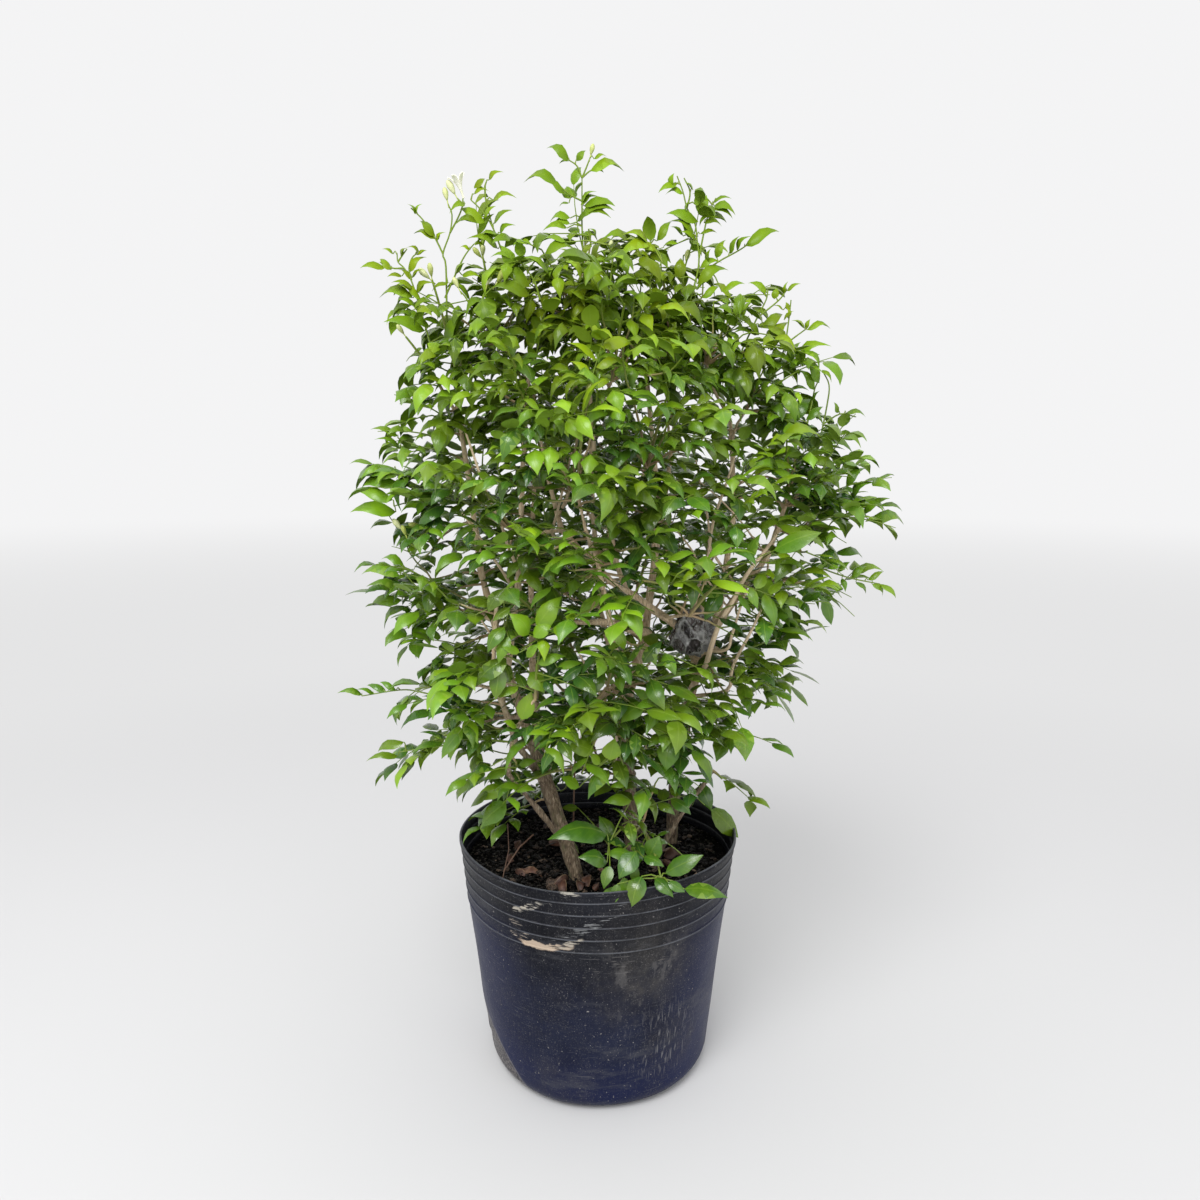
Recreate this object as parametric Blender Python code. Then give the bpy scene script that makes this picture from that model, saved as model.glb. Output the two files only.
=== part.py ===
"""Potted orange jasmine: a soft black nursery pot, its soil, the woody stems and their leafy shoots.

Metres, +Z up. The origin is the middle of the pot's underside, where it rests. The front is -Y."""

import math
import random

import bmesh
import bpy
from mathutils import Matrix, Vector, noise
from mathutils.bvhtree import BVHTree

UP = Vector((0, 0, 1))
GAP = 0.0003  # between two pieces that touch on the real plant
CREASE = math.radians(40)  # edges sharper than this are shaded as edges
NEAR_UPRIGHT = 0.05

# The soft plastic pot
POT_HEIGHT = 0.292
RIM_RADIUS = 0.170
BASE_RADIUS = 0.139  # of the wall, carried on down to the surface
FOOT_ROUND = 0.024
WALL = 0.0018
LIP_HEIGHT = 0.006
LIP_PROUD = 0.0012
LIP_BEVEL = 0.001
RING_COUNT = 5
FIRST_RING_DROP = 0.0145  # below the rim
RING_STEP = 0.0157
RING_HALF = 0.0013
RING_PROUD = 0.0011
POT_SIDES = 26
DRAIN_COUNT = 4
DRAIN_RADIUS = 0.007
DRAIN_CIRCLE = 0.085
DRAIN_SIDES = 8
DRAIN_REACH = 0.008  # of the hole's cutter, above and below the underside

# How the soft pot has gone out of round
RIM_OVAL = 0.012
OVAL_POWER = 3  # of the height: the wall stays round low down
RIM_SAG = 0.0035
SAG_POWER = 6
RIM_WAVE = 0.6  # of the sag
DENT_TURN = math.radians(-142)
DENT_HALF_TURN = math.radians(34)
DENT_HEIGHT = 0.085
DENT_DEPTH = 0.016

# Soil
SOIL_DROP = 0.038  # below the rim
SOIL_CLEAR = 0.0006
SOIL_RINGS = 3
MOUND_HEIGHT = 0.006  # round the stems
MOUND_RADIUS = 0.09
CRUMB_HEIGHT = 0.007
CRUMB_SCALE = 38
HOLE_CLEAR = 0.0004
HOLE_RUN = 0.03  # of a hole's cutter, beyond the stem's second point
HOLE_SIDES = 12

# The woody stems. Each line is a limb, as points of x, y, z and radius, and begins inside one before it.
STEMS = {
    "stem_left": (
        ((-0.022, -0.062, 0.195, 0.0085), (-0.025, -0.060, 0.256, 0.0090), (-0.042, -0.050, 0.310, 0.0088),
         (-0.060, -0.040, 0.360, 0.0092), (-0.072, -0.032, 0.396, 0.0080)),
        ((-0.072, -0.032, 0.390, 0.0066), (-0.108, -0.026, 0.500, 0.0056), (-0.138, -0.020, 0.620, 0.0042),
         (-0.150, -0.030, 0.740, 0.0032), (-0.158, -0.044, 0.815, 0.0026)),
        ((-0.072, -0.032, 0.390, 0.0060), (-0.080, 0.010, 0.500, 0.0048), (-0.085, 0.055, 0.620, 0.0036),
         (-0.080, 0.085, 0.730, 0.0026)),
        ((-0.060, -0.040, 0.360, 0.0050), (-0.094, -0.080, 0.430, 0.0040), (-0.114, -0.122, 0.520, 0.0030),
         (-0.106, -0.146, 0.600, 0.0024)),
        ((-0.108, -0.026, 0.500, 0.0044), (-0.092, -0.028, 0.620, 0.0036), (-0.086, -0.022, 0.750, 0.0030),
         (-0.078, -0.022, 0.850, 0.0024)),
        ((-0.036, -0.054, 0.290, 0.0042), (-0.066, -0.072, 0.340, 0.0034), (-0.104, -0.086, 0.395, 0.0024)),
    ),
    "stem_centre": (
        ((0.043, -0.012, 0.195, 0.0085), (0.043, -0.010, 0.262, 0.0088), (0.038, 0.000, 0.381, 0.0082),
         (0.036, 0.004, 0.462, 0.0074)),
        ((0.036, 0.004, 0.455, 0.0066), (0.058, 0.020, 0.530, 0.0058), (0.071, 0.030, 0.630, 0.0046),
         (0.070, 0.035, 0.740, 0.0036), (0.058, 0.030, 0.860, 0.0026)),
        ((0.036, 0.004, 0.455, 0.0054), (0.002, 0.060, 0.560, 0.0044), (-0.005, 0.108, 0.670, 0.0034),
         (-0.010, 0.125, 0.770, 0.0024)),
        ((0.038, 0.000, 0.390, 0.0050), (0.030, -0.070, 0.470, 0.0040), (0.018, -0.125, 0.560, 0.0032),
         (0.000, -0.160, 0.650, 0.0024)),
        ((0.058, 0.020, 0.530, 0.0046), (0.022, 0.002, 0.630, 0.0038), (-0.004, -0.008, 0.760, 0.0030),
         (-0.014, -0.004, 0.890, 0.0024)),
        ((0.071, 0.030, 0.630, 0.0040), (0.090, 0.095, 0.720, 0.0032), (0.100, 0.120, 0.800, 0.0024)),
        ((0.043, -0.010, 0.285, 0.0036), (0.050, -0.040, 0.305, 0.0028), (0.052, -0.062, 0.312, 0.0022)),
        ((0.048, 0.012, 0.500, 0.0072), (0.060, -0.010, 0.545, 0.0074)),
    ),
    "stem_right": (
        ((0.094, 0.040, 0.195, 0.0080), (0.096, 0.038, 0.262, 0.0082), (0.100, 0.022, 0.360, 0.0078),
         (0.112, 0.000, 0.455, 0.0074), (0.122, -0.020, 0.530, 0.0066)),
        ((0.122, -0.020, 0.524, 0.0058), (0.160, -0.040, 0.589, 0.0048), (0.195, -0.050, 0.641, 0.0036),
         (0.214, -0.050, 0.700, 0.0026)),
        ((0.112, 0.000, 0.455, 0.0054), (0.152, 0.030, 0.570, 0.0044), (0.170, 0.042, 0.690, 0.0034),
         (0.160, 0.032, 0.800, 0.0024)),
        ((0.120, -0.016, 0.515, 0.0058), (0.092, -0.040, 0.560, 0.0052), (0.014, -0.060, 0.615, 0.0044),
         (-0.040, -0.070, 0.673, 0.0034), (-0.056, -0.086, 0.740, 0.0024)),
        ((0.100, 0.022, 0.380, 0.0050), (0.130, 0.090, 0.500, 0.0040), (0.148, 0.128, 0.610, 0.0028)),
        ((0.120, -0.016, 0.515, 0.0100), (0.112, -0.040, 0.548, 0.0095)),
    ),
    "stem_young": (
        ((0.064, -0.032, 0.205, 0.0036), (0.067, -0.030, 0.256, 0.0036), (0.098, -0.030, 0.315, 0.0032),
         (0.134, -0.028, 0.366, 0.0024)),
    ),
}
STEM_SIDES = (6, 5)  # of a trunk and of a limb
SIDE_BRANCH_SIDES = 4
SIDE_BRANCH_ROOT = 0.0028
SIDE_BRANCH_END = 0.0020
SIDE_BRANCH_STEPS = 2
SIDE_BRANCH_LEAN = 0.6  # towards the limb's own direction, where it leaves it
SIDE_BRANCH_HANDLE = 0.35  # of its span, at each end of the curve
SIDE_BRANCH_MOST = 0.8  # of the limb's radius
SEAT_SHARES = (0.25, 0.5, 0.75, 1.0)  # where side branches may leave, along each stretch of a limb
TIP_ROOT = 0.96  # of the limb's radius, where a branch carries its tip on
TIP_FAVOUR = 0.05  # how much further off a limb's free tip may be than its side, and still be carried on
TIP_LAP = 0.003
BEND_COST = 0.05  # in metres, for a branch that turns back on itself
LOW_COST = 5  # for each metre that a branch would start below the rim
MOST_TRIES = 40

# The wrap of old plastic on the sawn limb
WRAP_CENTRE = Vector((0.110, -0.046, 0.549))
WRAP_SIZE = (0.027, 0.022, 0.026)
WRAP_CRUMPLE = 0.70
WRAP_FOLDS = ((1.9, 1.0, Vector((3, 1, 7))), (4.3, 0.5, Vector()))  # scale, share and shift of each
WRAP_CLEAR = 0.0005
WRAPPED_LIMB = 5  # of stem_right
WRAP_WINDOW = Vector((-0.030, -0.260, 0.055))  # from the wrap, clear of leaves
WRAP_WINDOW_RADIUS = 0.0216

# How far the leaves reach from the pot's axis: height, left, right, front and back
CANOPY = (
    (0.34, 0.20, 0.18, 0.20, 0.18),
    (0.43, 0.27, 0.23, 0.24, 0.23),
    (0.55, 0.27, 0.31, 0.26, 0.25),
    (0.66, 0.29, 0.36, 0.28, 0.27),
    (0.76, 0.27, 0.34, 0.27, 0.26),
    (0.86, 0.25, 0.29, 0.24, 0.23),
    (0.95, 0.25, 0.23, 0.19, 0.19),
    (1.03, 0.18, 0.15, 0.13, 0.13),
    (1.09, 0.07, 0.05, 0.05, 0.05),
)
# Shoots that shape the outline: where each leaves the wood, where its last leaf ends, and how many buds it has
OUTLINE_SHOOTS = (
    ((-0.158, -0.044, 0.850), (-0.200, -0.062, 1.030), 2),
    ((-0.112, -0.036, 0.880), (-0.138, -0.050, 1.056), 2),
    ((-0.018, -0.004, 0.910), (-0.014, 0.000, 1.076), 1),
    ((0.090, 0.010, 0.880), (0.112, 0.004, 1.060), 1),
    ((0.126, -0.010, 0.860), (0.200, -0.024, 1.000), 0),
    ((0.176, 0.004, 0.810), (0.262, -0.010, 0.915), 0),
    ((0.190, 0.020, 0.730), (0.302, 0.020, 0.815), 0),
    ((0.232, -0.050, 0.672), (0.350, -0.050, 0.722), 0),
    ((0.226, -0.046, 0.610), (0.354, -0.040, 0.598), 0),
    ((0.176, 0.010, 0.500), (0.276, 0.010, 0.486), 0),
    ((-0.170, -0.040, 0.820), (-0.262, -0.040, 0.960), 1),
    ((-0.162, 0.000, 0.752), (-0.264, 0.000, 0.790), 0),
    ((-0.170, -0.034, 0.672), (-0.290, -0.040, 0.686), 1),
    ((-0.168, 0.004, 0.570), (-0.280, 0.000, 0.588), 0),
    ((-0.190, 0.000, 0.474), (-0.312, 0.000, 0.464), 0),
    ((-0.158, -0.030, 0.430), (-0.280, -0.036, 0.386), 0),
    ((-0.020, -0.160, 0.720), (-0.004, -0.196, 0.900), 1),
    ((-0.066, -0.146, 0.500), (-0.056, -0.210, 0.620), 0),
    ((0.052, -0.078, 0.326), (0.070, -0.200, 0.312), 0),
    ((0.142, -0.030, 0.376), (0.214, -0.070, 0.318), 0),
)
# Tiers of shoots between them: the height of the leaf ends and how steeply the shoots rise, in degrees
TIERS = ((0.43, 2), (0.51, 16), (0.60, 28), (0.69, 38), (0.78, 46), (0.87, 54), (0.96, 64))
TIER_TURNS = (-122, -70, 60, 112)  # the front is -90
TIER_SWING = 12  # every other tier is turned on by this, and the rest back
TIER_TURN_STRAY = 0.15
TIER_HEIGHT_STRAY = 0.03
TIER_RISE_STRAY = 8
TIER_REACH = 0.96  # of the canopy's reach, at the end of a shoot's last leaf
SHOOT_SEED = 15
SHOOT_LENGTH = 0.085
LAST_LEAF = 0.088  # how far the last leaf carries a shoot on
SHOOT_BOW = 0.06  # of its length
SHOOT_ROOT = 0.0018
SHOOT_END = 0.0014
SHOOT_SIDES = 4
SHOOT_STEPS = 2
STALK_CLEAR = 0.0010

# A pinnate leaf, cut to its rib
LEAF_PLACES = (0.42, 0.97)  # along the shoot
PAIR_SIZES = (0.84, 0.94)  # of the end leaflet
SIZE_STRAY = (0.92, 1.06)
PETIOLE = 0.016
PAIR_STEP = 0.022
PAIR_OFFSET = 0.0035  # the leaflets of a pair don't quite face each other
LEAFLET_BASE = 0.0011  # half of its width at the rib
RIB_SINK = 0.0003  # of the rib's root in the shoot
RIB_HALF_WIDTH = 0.0008
RIB_HALF_DEEP = 0.0006
LEAFLET_LENGTH = 0.048
LEAFLET_HALF_WIDTH = 0.0128
LEAFLET_HALF_THICK = 0.00038
LEAFLET_TURN = math.radians(56)  # from the rib
TURN_STRAY = (0.9, 1.1)
LIFT_STRAY = 0.12
ROLL_STRAY = 0.25
BLADE_BELLY = 0.42  # where a leaflet or petal is widest, from its base
BLADE_FOLD = 0.42  # how far its edges drop, for each unit of half-width
LEAFLET_DROOP = 0.20
LEAF_ARCH = 3.0
LEAF_CLEAR = 0.0007
# The rib's direction and the upper face's, as shares of the shoot's own direction, outward, sideways and up
SIDE_LEAF = (0.45, 0.35, 0.75, -0.25)
LAST_LEAF_LINE = (0.85, 0.15, -0.30, -0.20)
LEAF_FACE = (0.0, 0.60, 0.0, 0.80)
RIB_STRAY = 0.22
FACE_STRAY = 0.40
LEAF_SEED = 500
LEAF_PITCHES = (0, 16, -16, 32, -32, 48)
LEAF_YAWS = (0, 26, -26, 52, -52, 80, -80)

BUD_LENGTH = 0.013
BUD_RADIUS = 0.0026
BUD_SIDES = 4
BUD_PROFILE = ((-0.1, 0.4), (0.55, 1.0), (1.0, 0.3))  # shares of the length and of the radius
BUD_LEANS = (0.40, 0.72)
BUD_STEP = 0.0015

# The open flower, on its own stalk from the tip of one shoot
BLOOM_SHOOT = 1
BLOOM_PLACE = Vector((-0.143, -0.060, 1.028))
PEDICEL_RADIUS = 0.0012
PEDICEL_BOW = Vector((0, -0.003, 0))
PETAL_COUNT = 5
PETAL_RING = 0.0016
PETAL_LENGTH = 0.016
PETAL_HALF_WIDTH = 0.0034
PETAL_HALF_THICK = 0.0004
PETAL_SPREAD = math.radians(62)  # from the flower's axis
PETAL_DROOP = 0.35
FLOWER_TUBE = 0.007
THROAT_RADIUS = 0.0013

COLOURS = {  # colour, roughness
    "pot_plastic": ((0.014, 0.015, 0.022, 1), 0.42),
    "soil": ((0.014, 0.010, 0.008, 1), 0.95),
    "bark": ((0.200, 0.135, 0.080, 1), 0.85),
    "leaf": ((0.060, 0.190, 0.022, 1), 0.38),
    "leaf_young": ((0.170, 0.330, 0.030, 1), 0.38),
    "wrap_plastic": ((0.045, 0.043, 0.046, 1), 0.45),
    "petal": ((0.860, 0.840, 0.700, 1), 0.50),
}


def material(name):
    """The Principled material of that name, made once."""
    found = bpy.data.materials.get(name)
    if found:
        return found
    colour, roughness = COLOURS[name]
    made = bpy.data.materials.new(name)
    made.use_nodes = True
    shader = made.node_tree.nodes["Principled BSDF"]
    shader.inputs["Base Color"].default_value = colour
    shader.inputs["Roughness"].default_value = roughness
    shader.inputs["Metallic"].default_value = 0.0
    return made


def add_object(name, points, faces, finish, collection=None):
    mesh = bpy.data.meshes.new(name)
    mesh.from_pydata([tuple(p) for p in points], [], faces)
    mesh.materials.append(material(finish))
    mesh.validate()
    obj = bpy.data.objects.new(name, mesh)
    (collection or bpy.context.scene.collection).objects.link(obj)
    return obj


def apply_modifiers(obj):
    graph = bpy.context.evaluated_depsgraph_get()
    made = bpy.data.meshes.new_from_object(obj.evaluated_get(graph))
    obj.modifiers.clear()
    obj.data = made


def fuse(obj, shapes, finish, solver="EXACT"):
    """Joins closed shapes, each of points and faces, to obj with one Boolean union on a collection."""
    if not shapes:
        return
    group = bpy.data.collections.new(obj.name + "_shapes")
    bpy.context.scene.collection.children.link(group)
    for i, (points, faces) in enumerate(shapes):
        add_object(f"{obj.name}_shape_{i}", points, faces, finish, group)
    union = obj.modifiers.new("union", "BOOLEAN")
    union.operation = "UNION"
    union.operand_type = "COLLECTION"
    union.collection = group
    union.solver = solver
    apply_modifiers(obj)
    for helper in list(group.objects):
        bpy.data.objects.remove(helper)
    bpy.data.collections.remove(group)


def cut(obj, points, faces):
    """Cuts one closed shape out of obj."""
    cutter = add_object(obj.name + "_cutter", points, faces, "soil")
    difference = obj.modifiers.new("cut", "BOOLEAN")
    difference.operation = "DIFFERENCE"
    difference.object = cutter
    apply_modifiers(obj)
    bpy.data.objects.remove(cutter)


def shade_smooth(obj):
    obj.data.shade_smooth()
    obj.data.set_sharp_from_angle(angle=CREASE)


def revolved(profile, sides, reshape):
    """A closed solid turned about Z. The profile runs from the axis, down the outside or up, back to the axis."""
    points, faces, rings = [], [], []
    for radius, height in profile:
        if radius == 0:
            rings.append([len(points)] * sides)
            points.append(reshape(Vector((0, 0, height))))
            continue
        rings.append(list(range(len(points), len(points) + sides)))
        for k in range(sides):
            turn = math.tau * k / sides
            points.append(reshape(Vector((radius * math.cos(turn), radius * math.sin(turn), height))))
    for i, (ring, following) in enumerate(zip(rings, rings[1:])):
        rising = profile[i + 1][1] >= profile[i][1]
        for k in range(sides):
            after = (k + 1) % sides
            # Each quad is split from its low corner to its high one, so that nested walls bend alike
            if rising:
                halves = (ring[k], ring[after], following[after]), (ring[k], following[after], following[k])
            else:
                halves = (ring[k], ring[after], following[k]), (ring[after], following[after], following[k])
            faces.extend(half for half in halves if len(set(half)) == 3)
    return points, faces


def across(direction):
    """Two unit vectors square to direction and to each other."""
    side = direction.cross(UP)
    if side.length < NEAR_UPRIGHT:
        side = direction.cross(Vector((0, 1, 0)))
    side.normalize()
    return side, side.cross(direction).normalized()


def tube(path, radii, sides, first=None, last=None):
    """A closed tapered tube along path. first and last are the directions its two ends face along."""
    tangents = []
    for i in range(len(path)):
        before, after = path[max(i - 1, 0)], path[min(i + 1, len(path) - 1)]
        tangents.append((after - before).normalized())
    tangents[0] = first or tangents[0]
    tangents[-1] = last or tangents[-1]
    points = []
    side = across(tangents[0])[0]
    for centre, radius, tangent in zip(path, radii, tangents):
        side = (side - tangent * side.dot(tangent)).normalized()
        other = tangent.cross(side)
        for k in range(sides):
            turn = math.tau * k / sides
            points.append(centre + radius * (math.cos(turn) * side + math.sin(turn) * other))
    faces = [tuple(reversed(range(sides)))]
    for ring in range(len(path) - 1):
        for k in range(sides):
            after = (k + 1) % sides
            low, high = ring * sides, (ring + 1) * sides
            faces.append((low + k, low + after, high + after, high + k))
    top = (len(path) - 1) * sides
    faces.append(tuple(range(top, top + sides)))
    return points, faces


def bezier(a, b, c, d, steps):
    path = []
    for i in range(steps + 1):
        t = i / steps
        s = 1 - t
        path.append(a * s**3 + b * (3 * s * s * t) + c * (3 * s * t * t) + d * t**3)
    return path


def tree_of(points, faces):
    return BVHTree.FromPolygons([tuple(p) for p in points], faces)


def tree_of_object(obj):
    return tree_of([v.co for v in obj.data.vertices], [tuple(p.vertices) for p in obj.data.polygons])


def softened(point):
    """Where a point of the round pot, or of the soil in it, lies in the pot as it has sagged and been dented."""
    turn = math.atan2(point.y, point.x)
    rise = point.z / POT_HEIGHT
    moved = point.copy()
    moved.xy *= 1 + RIM_OVAL * rise**OVAL_POWER * math.cos(2 * turn)
    wave = RIM_WAVE * math.sin(turn) * math.cos(3 * turn)
    moved.z -= RIM_SAG * rise**SAG_POWER * (math.sin(turn) ** 2 - wave)
    off = abs((turn - DENT_TURN + math.pi) % math.tau - math.pi) / DENT_HALF_TURN
    low = 1 - point.z / DENT_HEIGHT
    if off < 1 and low > 0:
        spread = min(1.0, point.xy.length / BASE_RADIUS)
        push = DENT_DEPTH * math.cos(off * math.pi / 2) * low * spread**2
        moved.xy -= push * Vector((math.cos(turn), math.sin(turn)))
    return moved


def wall_radius(height):
    """The pot's outer radius at a height, above its rounded foot."""
    return BASE_RADIUS + (RIM_RADIUS - BASE_RADIUS) * height / POT_HEIGHT


def foot_points(radius, low, steps):
    """A quarter round from the underside up to the wall, as radius and height."""
    points = []
    for i in range(steps + 1):
        turn = math.pi / 2 * i / steps
        points.append((
            radius - FOOT_ROUND + FOOT_ROUND * math.sin(turn),
            low + FOOT_ROUND - FOOT_ROUND * math.cos(turn),
        ))
    return points


def dent_rows(inset=0.0):
    """Rows of the wall that let it bend over the dent, as radius and height."""
    return [(wall_radius(height) - inset, height) for height in (DENT_HEIGHT / 2, DENT_HEIGHT)]


def make_pot():
    outside = [(0, 0)] + foot_points(wall_radius(FOOT_ROUND), 0, 3) + dent_rows()
    for i in reversed(range(RING_COUNT)):
        height = POT_HEIGHT - FIRST_RING_DROP - RING_STEP * i
        for step, proud in ((-RING_HALF, 0), (0, RING_PROUD), (RING_HALF, 0)):
            outside.append((wall_radius(height + step) + proud, height + step))
    lip = POT_HEIGHT - LIP_HEIGHT
    lip_radius = RIM_RADIUS + LIP_PROUD
    outside += [(wall_radius(lip), lip), (lip_radius, lip + LIP_BEVEL), (lip_radius, POT_HEIGHT)]
    level = POT_HEIGHT - SOIL_DROP
    inner_foot = foot_points(wall_radius(FOOT_ROUND) - WALL, WALL, 2)
    inner_wall = dent_rows(WALL) + [(wall_radius(level) - WALL, level), (RIM_RADIUS - WALL, POT_HEIGHT)]
    inside = list(reversed([(0, WALL)] + inner_foot + inner_wall))
    points, faces = revolved(outside + inside, POT_SIDES, softened)
    pot = add_object("pot", points, faces, "pot_plastic")
    for i in range(DRAIN_COUNT):
        turn = math.tau * (i + 0.5) / DRAIN_COUNT
        centre = Vector((DRAIN_CIRCLE * math.cos(turn), DRAIN_CIRCLE * math.sin(turn), 0))
        path = [centre - UP * DRAIN_REACH, centre + UP * DRAIN_REACH]
        cut(pot, *tube(path, [DRAIN_RADIUS] * 2, DRAIN_SIDES))
    shade_smooth(pot)
    return pot


def soil_top(point):
    """The height of the soil at a point: crumbs, and a low mound round the stems."""
    level = POT_HEIGHT - SOIL_DROP
    mound = MOUND_HEIGHT * math.exp(-((point.xy.length / MOUND_RADIUS) ** 2))
    return level + mound + CRUMB_HEIGHT * noise.noise(Vector((point.x, point.y, 0)) * CRUMB_SCALE)


def make_soil():
    low = WALL + GAP
    inset = WALL + SOIL_CLEAR
    level = POT_HEIGHT - SOIL_DROP
    edge = wall_radius(level) - inset
    outside = [(0, low)] + foot_points(wall_radius(FOOT_ROUND) - inset, low, 2) + dent_rows(inset) + [(edge, level)]
    rings = [(edge * (1 - (i + 1) / (SOIL_RINGS + 1)), level) for i in range(SOIL_RINGS)]

    def reshape(point):
        moved = softened(point)
        if point.z == level and point.xy.length < edge - SOIL_CLEAR:
            moved.z = soil_top(moved)
        return moved

    points, faces = revolved(outside + rings + [(0, level)], POT_SIDES, reshape)
    soil = add_object("soil", points, faces, "soil")
    for limbs in STEMS.values():
        (x0, y0, z0, r0), (x1, y1, z1, r1) = limbs[0][:2]
        foot, neck = Vector((x0, y0, z0)), Vector((x1, y1, z1))
        along = (neck - foot).normalized()
        path = [foot - along * GAP, neck + along * HOLE_RUN]
        wide = max(r0, r1) + HOLE_CLEAR
        cut(soil, *tube(path, [wide] * 2, HOLE_SIDES))
    shade_smooth(soil)
    return soil


def canopy_reach(height, turn):
    """How far the canopy reaches from the axis at a height, towards turn: 0 is the right, -90 degrees the front."""
    rows = CANOPY
    height = min(max(height, rows[0][0]), rows[-1][0])
    for low, high in zip(rows, rows[1:]):
        if height <= high[0]:
            break
    share = (height - low[0]) / (high[0] - low[0])
    left, right, front, back = (a + (b - a) * share for a, b in zip(low[1:], high[1:]))
    wide = right if math.cos(turn) > 0 else left
    deep = back if math.sin(turn) > 0 else front
    return 1 / math.hypot(math.cos(turn) / wide, math.sin(turn) / deep)


def shoot_list():
    """Each shoot's seat on the wood, its tip and its buds: those of the outline, then the tiers."""
    shoots = []
    for seat, end, buds in OUTLINE_SHOOTS:
        line = Vector(end) - Vector(seat)
        shoots.append((Vector(seat), Vector(end) - line.normalized() * LAST_LEAF, buds))
    rng = random.Random(SHOOT_SEED)
    for tier, (height, rise) in enumerate(TIERS):
        for tier_turn in TIER_TURNS:
            turn = math.radians(tier_turn + (TIER_SWING if tier % 2 else -TIER_SWING))
            turn += rng.uniform(-TIER_TURN_STRAY, TIER_TURN_STRAY)
            level = height + rng.uniform(-TIER_HEIGHT_STRAY, TIER_HEIGHT_STRAY)
            reach = TIER_REACH * canopy_reach(level, turn)
            lift = math.radians(rise + rng.uniform(-TIER_RISE_STRAY, TIER_RISE_STRAY))
            outward = Vector((math.cos(turn), math.sin(turn), 0))
            along = outward * math.cos(lift) + UP * math.sin(lift)
            tip = outward * reach + UP * level - along * LAST_LEAF
            shoots.append((tip - along * SHOOT_LENGTH, tip, 0))
    return shoots


def shoot_path(seat, tip):
    chord = tip - seat
    bow = UP * chord.length * SHOOT_BOW
    return bezier(seat, seat + chord / 3 + bow, tip - chord / 3 + bow, tip, SHOOT_STEPS)


def limb_samples(limbs):
    """Where a side branch may leave the limbs: place, direction, radius, and whether it is a limb's tip."""
    samples = []
    for limb in limbs:
        for a, b in zip(limb, limb[1:]):
            start, end = Vector(a[:3]), Vector(b[:3])
            for share in SEAT_SHARES:
                place = start.lerp(end, share)
                radius = a[3] + (b[3] - a[3]) * share
                samples.append((place, (end - start).normalized(), radius, share == 1.0 and b is limb[-1]))
    return samples


def side_branch(sample, seat, along):
    """The path and radii of a branch from a limb to a shoot's seat. From a tip it carries the limb on."""
    place, direction, radius, is_tip = sample
    span = (seat - place).length
    leave = direction if is_tip else (direction * SIDE_BRANCH_LEAN + (seat - place).normalized()).normalized()
    root = radius * TIP_ROOT if is_tip else min(SIDE_BRANCH_ROOT, radius * SIDE_BRANCH_MOST)
    handle = span * SIDE_BRANCH_HANDLE
    path = bezier(place, place + leave * handle, seat - along * handle, seat, SIDE_BRANCH_STEPS)
    if is_tip:
        path[0] = place - direction * TIP_LAP
    steps = len(path) - 1
    return path, [root + (SIDE_BRANCH_END - root) * i / steps for i in range(steps + 1)]


def crosses(shape, trees):
    tree = tree_of(*shape)
    return any(tree.overlap(other) for other in trees)


class Growth:
    """The wood and stalks so far. Each shoot gets the nearest side branch that keeps clear of what is there."""

    def __init__(self, around):
        self.around = around
        self.wood = {}
        self.trees = {}
        self.samples = []
        for name, limbs in STEMS.items():
            self.wood[name] = []
            self.trees[name] = []
            for i, limb in enumerate(limbs):
                path = [Vector(p[:3]) for p in limb]
                self.add_wood(name, tube(path, [p[3] for p in limb], STEM_SIDES[min(i, 1)]))
            self.samples += [(name, sample) for sample in limb_samples(limbs)]
        self.stalks = []

    def add_wood(self, name, shape):
        self.wood[name].append(shape)
        self.trees[name].append(tree_of(*shape))

    def all_trees(self):
        wood = [tree for trees in self.trees.values() for tree in trees]
        return self.around + wood + [tree_of(*s) for s in self.stalks]

    def add_shoot(self, seat, tip):
        """Grows a side branch to seat and a stalk on to tip. Returns the stalk's path and radii, or None."""
        path = shoot_path(seat, tip)
        along = (path[1] - path[0]).normalized()
        path[0] = seat + along * GAP
        radii = [SHOOT_ROOT + (SHOOT_END - SHOOT_ROOT) * i / SHOOT_STEPS for i in range(SHOOT_STEPS + 1)]
        if crosses(tube(path, [r + STALK_CLEAR for r in radii], SHOOT_SIDES, first=along), self.all_trees()):
            return None

        def cost(item):
            span = seat - item[1][0]
            bend = 1 - span.normalized().dot(along)
            favour = TIP_FAVOUR if item[1][3] else 0
            low = max(0, POT_HEIGHT - item[1][0].z)
            return span.length * (1 + bend) + BEND_COST * bend + LOW_COST * low - favour

        stalks = [tree_of(*s) for s in self.stalks]
        for name, sample in sorted(self.samples, key=cost)[:MOST_TRIES]:
            line, line_radii = side_branch(sample, seat, along)
            wide = tube(line, [r + STALK_CLEAR for r in line_radii], SIDE_BRANCH_SIDES)
            others = [tree for other, trees in self.trees.items() if other != name for tree in trees]
            if crosses(wide, self.around + others + stalks):
                continue
            self.add_wood(name, tube(line, line_radii, SIDE_BRANCH_SIDES, last=along))
            if sample[3]:
                self.samples.remove((name, sample))
            self.samples.append((name, (line[-2], (line[-1] - line[-2]).normalized(), line_radii[0], False)))
            self.stalks.append(tube(path, radii, SHOOT_SIDES, first=along))
            return path
        return None


def blade_corners(low, high, direction, flat, length, half_width, droop):
    """A blade's corners beyond its base, which runs from low to high: one belly, the tip and the other belly."""
    middle = (low + high) / 2
    sideways = flat.cross(direction).normalized()
    belly = middle + direction * length * BLADE_BELLY - flat * half_width * BLADE_FOLD
    tip = middle + direction * length - flat * length * droop
    return belly - sideways * half_width, tip, belly + sideways * half_width


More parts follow.
